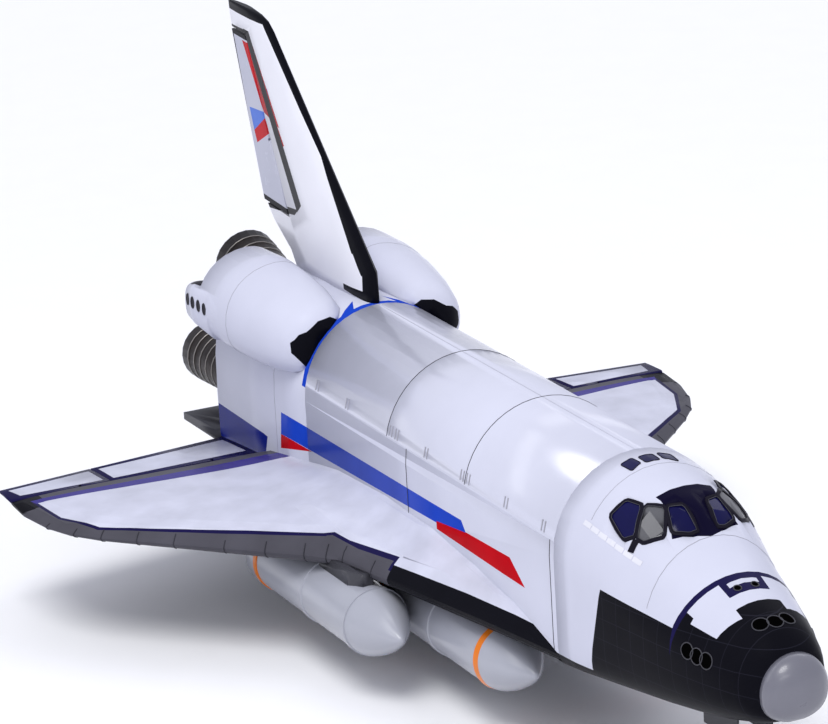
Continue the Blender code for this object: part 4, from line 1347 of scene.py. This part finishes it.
@dataclass
class Wings:
    """Wings, their carbon edges and the elevons."""

    seam_radius: float = 0.022
    edge_seams: tuple[Pair, ...] = ((11.24, 28.45), (10.95, 27.20), (10.55, 26.20), (10.00, 25.47),
                                    (9.20, 24.62), (8.38, 23.72), (7.20, 22.57), (6.25, 21.64),
                                    (5.40, 20.71), (4.89, 20.17), (4.65, 19.55), (4.35, 18.14))

    def build(self) -> None:
        """Dresses both wings."""
        for name, side in SIDES.items():
            skin_of(f"wing_{name}", Coats.WING, 10.0)
            skin_of(f"leading_edge_{name}", Coats.WING, 10.0)
            for part in ("inboard_elevon", "outboard_elevon"):
                skin_of(f"{part}_{name}", Coats.ELEVON, 40.0)
            seams = Beads()
            for span, station in self.edge_seams:
                across = self.edge_direction(station)
                seams.section(f"leading_edge_{name}", place(station, span, 0, side),
                              Vector((side * across.x, across.y, 0)),
                              lambda spot, s=span, t=station: self.on_edge(spot, s, t))
            reach = 11.5 - self.seam_radius
            for spot in seams.points:
                spot.x = max(-reach, min(reach, spot.x))
            seams.piece(f"edge_seams_{name}", self.seam_radius, Coats.SEAM, "orbiter")

    @staticmethod
    def edge_direction(station: float) -> Vector:
        """Direction of the leading edge in plan at a station.

        Args:
            station: The station.

        Returns:
            The direction, out and aft.
        """
        line = LE_GLOVE + LE_MAIN
        for (a0, s0), (a1, s1) in zip(line, line[1:]):
            if s0 <= station <= s1:
                return Vector((a1 - a0, s1 - s0)).normalized()
        return Vector((0.0, 1.0))

    @staticmethod
    def on_edge(spot: Vector, span: float, station: float) -> bool:
        """Whether a point lies on the grey part near one seam.

        Args:
            spot: The point.
            span: Span of the seam.
            station: Station of the seam.

        Returns:
            Whether it does.
        """
        gap = Vector((abs(spot.x) - span, spot.y - NOSE_Y - station))
        return gap.length < 0.75 and all(
            half.normal[0] * abs(spot.x) + half.normal[1] * spot.y + half.offset < 0
            for half in (nearest_edge(station),))


def nearest_edge(station: float) -> Half:
    """Line 0.2 m inside the leading edge at a station.

    Args:
        station: Where along the wing.

    Returns:
        The half further inside.
    """
    line = [LE_GLOVE[0], LE_GLOVE[1]] + LE_MAIN
    for start, end in zip(line, line[1:]):
        if start[1] <= station <= end[1]:
            half = beyond(View.PLAN, start, end, (2.0, 29.0))
            return Half(half.normal, half.offset - 0.2)
    return aft_of(station)


@dataclass
class Tail:
    """Fin, rudder and rear pods."""

    def build(self) -> None:
        """Dresses the tail."""
        skin_of("fin", Coats.FIN)
        skin_of("rudder", Coats.RUDDER)
        vents, rims = Draft(), Beads()
        for name, side in SIDES.items():
            skin_of(f"rear_pod_{name}", Coats.POD, 45.0)
            skin_of(f"pod_nozzle_{name}", Coats.NOZZLE, 50.0)
            skin = Surface(f"rear_pod_{name}")
            for station in (33.18, 32.72, 32.26, 31.80):
                edge = [place(station + 0.13 * math.cos(t), 3.70, 4.77 + 0.19 * math.sin(t), side)
                        for t in (2 * math.pi * i / 20 for i in range(20))]
                # Near-black flat patches: painted shade standing for the vent openings.
                vents.patch(edge, skin, 0.008, 2)
                rims.loop([skin.near(p, 0.008) for p in edge])
            scoop = [place(33.25, 3.05, 5.25, side), place(32.45, 3.0, 5.35, side),
                     place(32.45, 3.5, 5.35, side), place(33.25, 3.5, 5.25, side)]
            vents.patch(finer(scoop, 0.15), skin, 0.02, 3)
        vents.piece("pod_vents", Coats.TRIM, "orbiter")
        rims.piece("pod_vent_rims", 0.016, Coats.SEAM, "orbiter")


@dataclass
class Engines:
    """Main engine nozzles with their hoops, and the flap below them."""

    base: float = 32.70
    bells: dict[str, tuple[float, float, float, float]] = field(default_factory=lambda: {
        "main_engine_top": (0.0, 3.77, 10.0, 4.387),
        "main_engine_right": (-1.50, 1.57, 1.0, 4.340),
        "main_engine_left": (1.50, 1.57, 1.0, 4.340),
    })

    hoop_shares: tuple[float, ...] = (0.40, 0.50, 0.60, 0.70, 0.80, 0.90)
    hoop_radius: float = 0.022

    def build(self) -> None:
        """Dresses the engines and the flap."""
        hoops = Beads()
        for node, (x, height, lift, length) in self.bells.items():
            skin_of(node, Coats.NOZZLE, 45.0)
            axis = Vector((0, math.cos(math.radians(lift)), math.sin(math.radians(lift))))
            start = Vector((x, self.base + NOSE_Y, height + DATUM_Z))
            for share in self.hoop_shares:
                self.hoop(hoops, node, start + axis * length * share, axis)
        hoops.piece("nozzle_hoops", self.hoop_radius, Coats.NOZZLE_RING, "orbiter")
        skin_of("body_flap", Coats.TILE, 40.0)

    @staticmethod
    def hoop(hoops: Beads, node: str, centre: Vector, axis: Vector) -> None:
        """Adds a hoop on the outside of a nozzle.

        Args:
            hoops: Where it goes.
            node: The nozzle.
            centre: Its middle.
            axis: The nozzle's axis.
        """
        far = circle(centre, axis, 3.0, 48)
        tree = Surface(node).tree
        ring = []
        for point in far:
            hit = tree.ray_cast(point, (centre - point).normalized())[0]
            ring.append(hit if hit is not None else point)
        hoops.loop(ring)


@dataclass
class Boosters:
    """Strap-on boosters and their pylons."""

    radius: float = 1.03
    rise: float = 0.035
    ring_half: float = 0.11
    nose_length: float = 1.95
    places: dict[str, tuple[float, float, float, float, tuple[float, ...]]] = field(
        default_factory=lambda: {
            "inboard": (2.32, -1.385, 11.37, 20.28, (2.00, 5.30, 8.55)),
            "outboard": (4.47, -1.30, 15.86, 25.21, (2.05, 5.20, 8.60)),
        })
    bands: dict[str, list[Pair]] = field(default_factory=lambda: {
        "inboard": [(13.24, 13.50), (19.80, 20.05)],
        "outboard": [(24.33, 24.59)],
    })

    def build(self) -> None:
        """Dresses the boosters."""
        for label, bands in self.bands.items():
            finish = booster_finish(label, bands)
            for name, side in SIDES.items():
                self.barrel(label, name, side, finish)
                # The pylons are dark partly as painted shade under the wing.
                skin_of(f"pylon_{label}_{name}", Coats.PYLON_SHADE_AND_TRIM)

    def barrel(self, label: str, name: str, side: int, finish: Finish) -> None:
        """Round body of one booster, with its raised rings and tail nozzle.

        Args:
            label: Which pair it belongs to.
            name: Its side.
            side: -1 for starboard, 1 for port.
            finish: Its finish.
        """
        span, height, tip, tail, rings = self.places[label]
        profile = [(0.0, 0.0)]
        for i in range(1, 15):
            share = i / 14
            profile.append((self.nose_length * share, self.radius * (1 - (1 - share) ** 1.45) ** 0.95))
        lip = 0.012
        for ring in rings:
            profile += [(spot, self.radius + lift) for spot, lift in (
                (ring - self.ring_half, 0.0), (ring - self.ring_half + lip, self.rise),
                (ring + self.ring_half - lip, self.rise), (ring + self.ring_half, 0.0))
                if spot > profile[-1][0]]
        length = tail - tip
        profile += [(length - 0.02, self.radius), (length + 0.02, self.radius - 0.03),
                    (length + 0.28, 0.42), (length + 0.80, 0.52), (length + 0.80, 0.46),
                    (length + 0.45, 0.38), (length + 0.45, 0.0)]
        draft = Draft()
        draft.rows([circle(place(tip + along, span, height, side), Vector((0, 1, 0)), size, 64)
                    if size else [place(tip + along, span, height, side)] for along, size in profile])
        piece = draft.piece(f"booster_{label}_{name}_shell", finish, "orbiter")
        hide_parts(f"booster_{label}_{name}")


@dataclass
class Gear:
    """Landing gear: legs, wheels with treads and hub bolts, and doors."""

    wheels: dict[str, tuple[str, str, float]] = field(default_factory=lambda: {
        "nose": ("nose_wheel_pair", "nose", 0.41),
        "main_right": ("starboard_wheel_pair", "main_right", 0.565),
        "main_left": ("port_wheel_pair", "main_left", 0.565),
    })
    groove_shares: tuple[float, ...] = (0.30, 0.50, 0.70)
    groove_radius: float = 0.008
    groove_depth: float = 0.009
    bolt_count: int = 8
    bolt_circle: float = 0.17
    bolt_sink: float = 0.02
    bolt_size: Colour = (0.018, 0.018, 0.04)

    def build(self) -> None:
        """Dresses the gear."""
        for node in ("nose_gear_leg", "nose_gear_fork", "main_gear_leg_right", "main_gear_leg_left"):
            skin_of(node, Coats.STEEL, 40.0)
        for name in SIDES:
            for label in ("nose", "main"):
                frame["nodes"][f"{label}_gear_door_{name}"].data.materials[0] = Coats.TILE.material()
        for label, (body, prefix, radius) in self.wheels.items():
            skin_of(f"{prefix}_axle", Coats.STEEL, 40.0)
            treads = Beads()
            bolts = Repeats(Item.STUD)
            names = ("left", "right") if label == "nose" else ("inner", "outer")
            low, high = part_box(f"{prefix}_axle")
            middle = (low + high) / 2
            for name in names:
                tyre = f"{prefix}_tyre_{name}"
                skin_of(tyre, Coats.RUBBER, 30.0)
                first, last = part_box(tyre)
                for share in self.groove_shares:
                    x = first.x + (last.x - first.x) * share
                    treads.loop(circle(Vector((x, middle.y, middle.z)), Vector((1, 0, 0)),
                                       radius - self.groove_depth, 48))
                outer = high.x if first.x > middle.x else low.x
                facing = Vector((1 if first.x > middle.x else -1, 0, 0))
                for spot in circle(Vector((outer, middle.y, middle.z)), Vector((1, 0, 0)),
                                   radius * self.bolt_circle, self.bolt_count):
                    bolts.add(spot - facing * self.bolt_sink, facing)
            treads.piece(f"{label}_tyre_grooves", self.groove_radius, Coats.TRIM, body)
            bolts.piece(f"{label}_hub_bolts", self.bolt_size, Coats.SEAM, body)


@dataclass
class Studio:
    """Floor, soft light and the camera of the photograph."""

    width: int = 828
    height: int = 724
    camera_place: Colour = (-55.5719, -117.8871, 50.5186)
    turn: float = -0.423836119
    lift: float = 0.303988142
    roll: float = -0.0573408799
    focal_pixels: float = 4596.677
    centre_pixels: Pair = (414.0887, 361.7277)
    sensor_width: float = 36.0
    surround_strength: float = 0.72
    sun_energy: float = 1.6
    floor_size: float = 900.0

    def build(self) -> None:
        """Sets the stage."""
        self.floor()
        self.lights()
        self.camera()

    def floor(self) -> None:
        """Wide plain pale floor."""
        draft = bmesh.new()
        bmesh.ops.create_grid(draft, x_segments=8, y_segments=8, size=self.floor_size)
        mesh = bpy.data.meshes.new("floor")
        draft.to_mesh(mesh)
        draft.free()
        floor = bpy.data.objects.new("floor", mesh)
        bpy.context.scene.collection.objects.link(floor)
        floor.data.materials.append(Finish("floor_paper", (0.93, 0.93, 0.94), 0.9, coat=0.0,
                                           mottling=0.01, relief=0.0).material())

    def lights(self) -> None:
        """Pale surround, one broad sun and two long soft boxes."""
        world = bpy.data.worlds.new("surround")
        world.use_nodes = True
        background = world.node_tree.nodes["Background"]
        background.inputs[0].default_value = (0.86, 0.88, 1.0, 1.0)
        background.inputs[1].default_value = self.surround_strength
        bpy.context.scene.world = world
        sun = bpy.data.lights.new("broad_sun", "SUN")
        sun.energy = self.sun_energy
        sun.angle = math.radians(25)
        self.aim("broad_sun", sun, Vector((-30, -40, 80)), Vector((0, 0, 3)))
        for name, spot, size, power in (
                ("long_box", Vector((-26, -8, 34)), (6.0, 44.0), 2200.0),
                ("top_box", Vector((16, 0, 40)), (7.0, 44.0), 2200.0),
                ("front_box", Vector((-14, -52, 26)), (22.0, 7.0), 1500.0)):
            box = bpy.data.lights.new(name, "AREA")
            box.shape = "RECTANGLE"
            box.size, box.size_y = size
            box.energy = power
            self.aim(name, box, spot, Vector((0, 0, 6)))
        view = bpy.context.scene.view_settings
        view.view_transform = "Standard"

    @staticmethod
    def aim(name: str, light: bpy.types.Light, spot: Vector, target: Vector) -> None:
        """Puts a light in place.

        Args:
            name: Its name.
            light: The light.
            spot: Where it stands.
            target: What it faces.
        """
        lamp = bpy.data.objects.new(name, light)
        lamp.location = spot
        lamp.rotation_euler = (target - spot).to_track_quat("-Z", "Y").to_euler()
        bpy.context.scene.collection.objects.link(lamp)

    def camera(self) -> None:
        """Camera at the photograph's place and angle."""
        back = Vector((math.sin(self.turn) * math.cos(self.lift), -math.cos(self.turn) * math.cos(self.lift),
                       math.sin(self.lift)))
        level = Vector((math.cos(self.turn), math.sin(self.turn), 0.0))
        up = back.cross(level)
        right = level * math.cos(self.roll) + up * math.sin(self.roll)
        top = -level * math.sin(self.roll) + up * math.cos(self.roll)
        data = bpy.data.cameras.new("photo_camera")
        data.sensor_fit = "HORIZONTAL"
        data.sensor_width = self.sensor_width
        data.lens = self.focal_pixels / self.width * self.sensor_width
        data.shift_x = (self.width / 2 - self.centre_pixels[0]) / self.width
        data.shift_y = (self.centre_pixels[1] - self.height / 2) / self.width
        data.clip_end = 2000.0
        camera = bpy.data.objects.new("photo_camera", data)
        camera.matrix_world = Matrix.Translation(Vector(self.camera_place)) @ Matrix(
            (right, top, back)).transposed().to_4x4()
        bpy.context.scene.collection.objects.link(camera)
        bpy.context.scene.camera = camera


def main() -> None:
    """Builds every sub-assembly."""
    logging.basicConfig(level=logging.INFO, format="%(name)s: %(message)s")
    for part in (Nose(), Body(), Wings(), Tail(), Engines(), Boosters(), Gear(), Studio()):
        part.build()
        LOG.info("%s is dressed", type(part).__name__)
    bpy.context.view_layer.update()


if __name__ == "__main__":
    main()
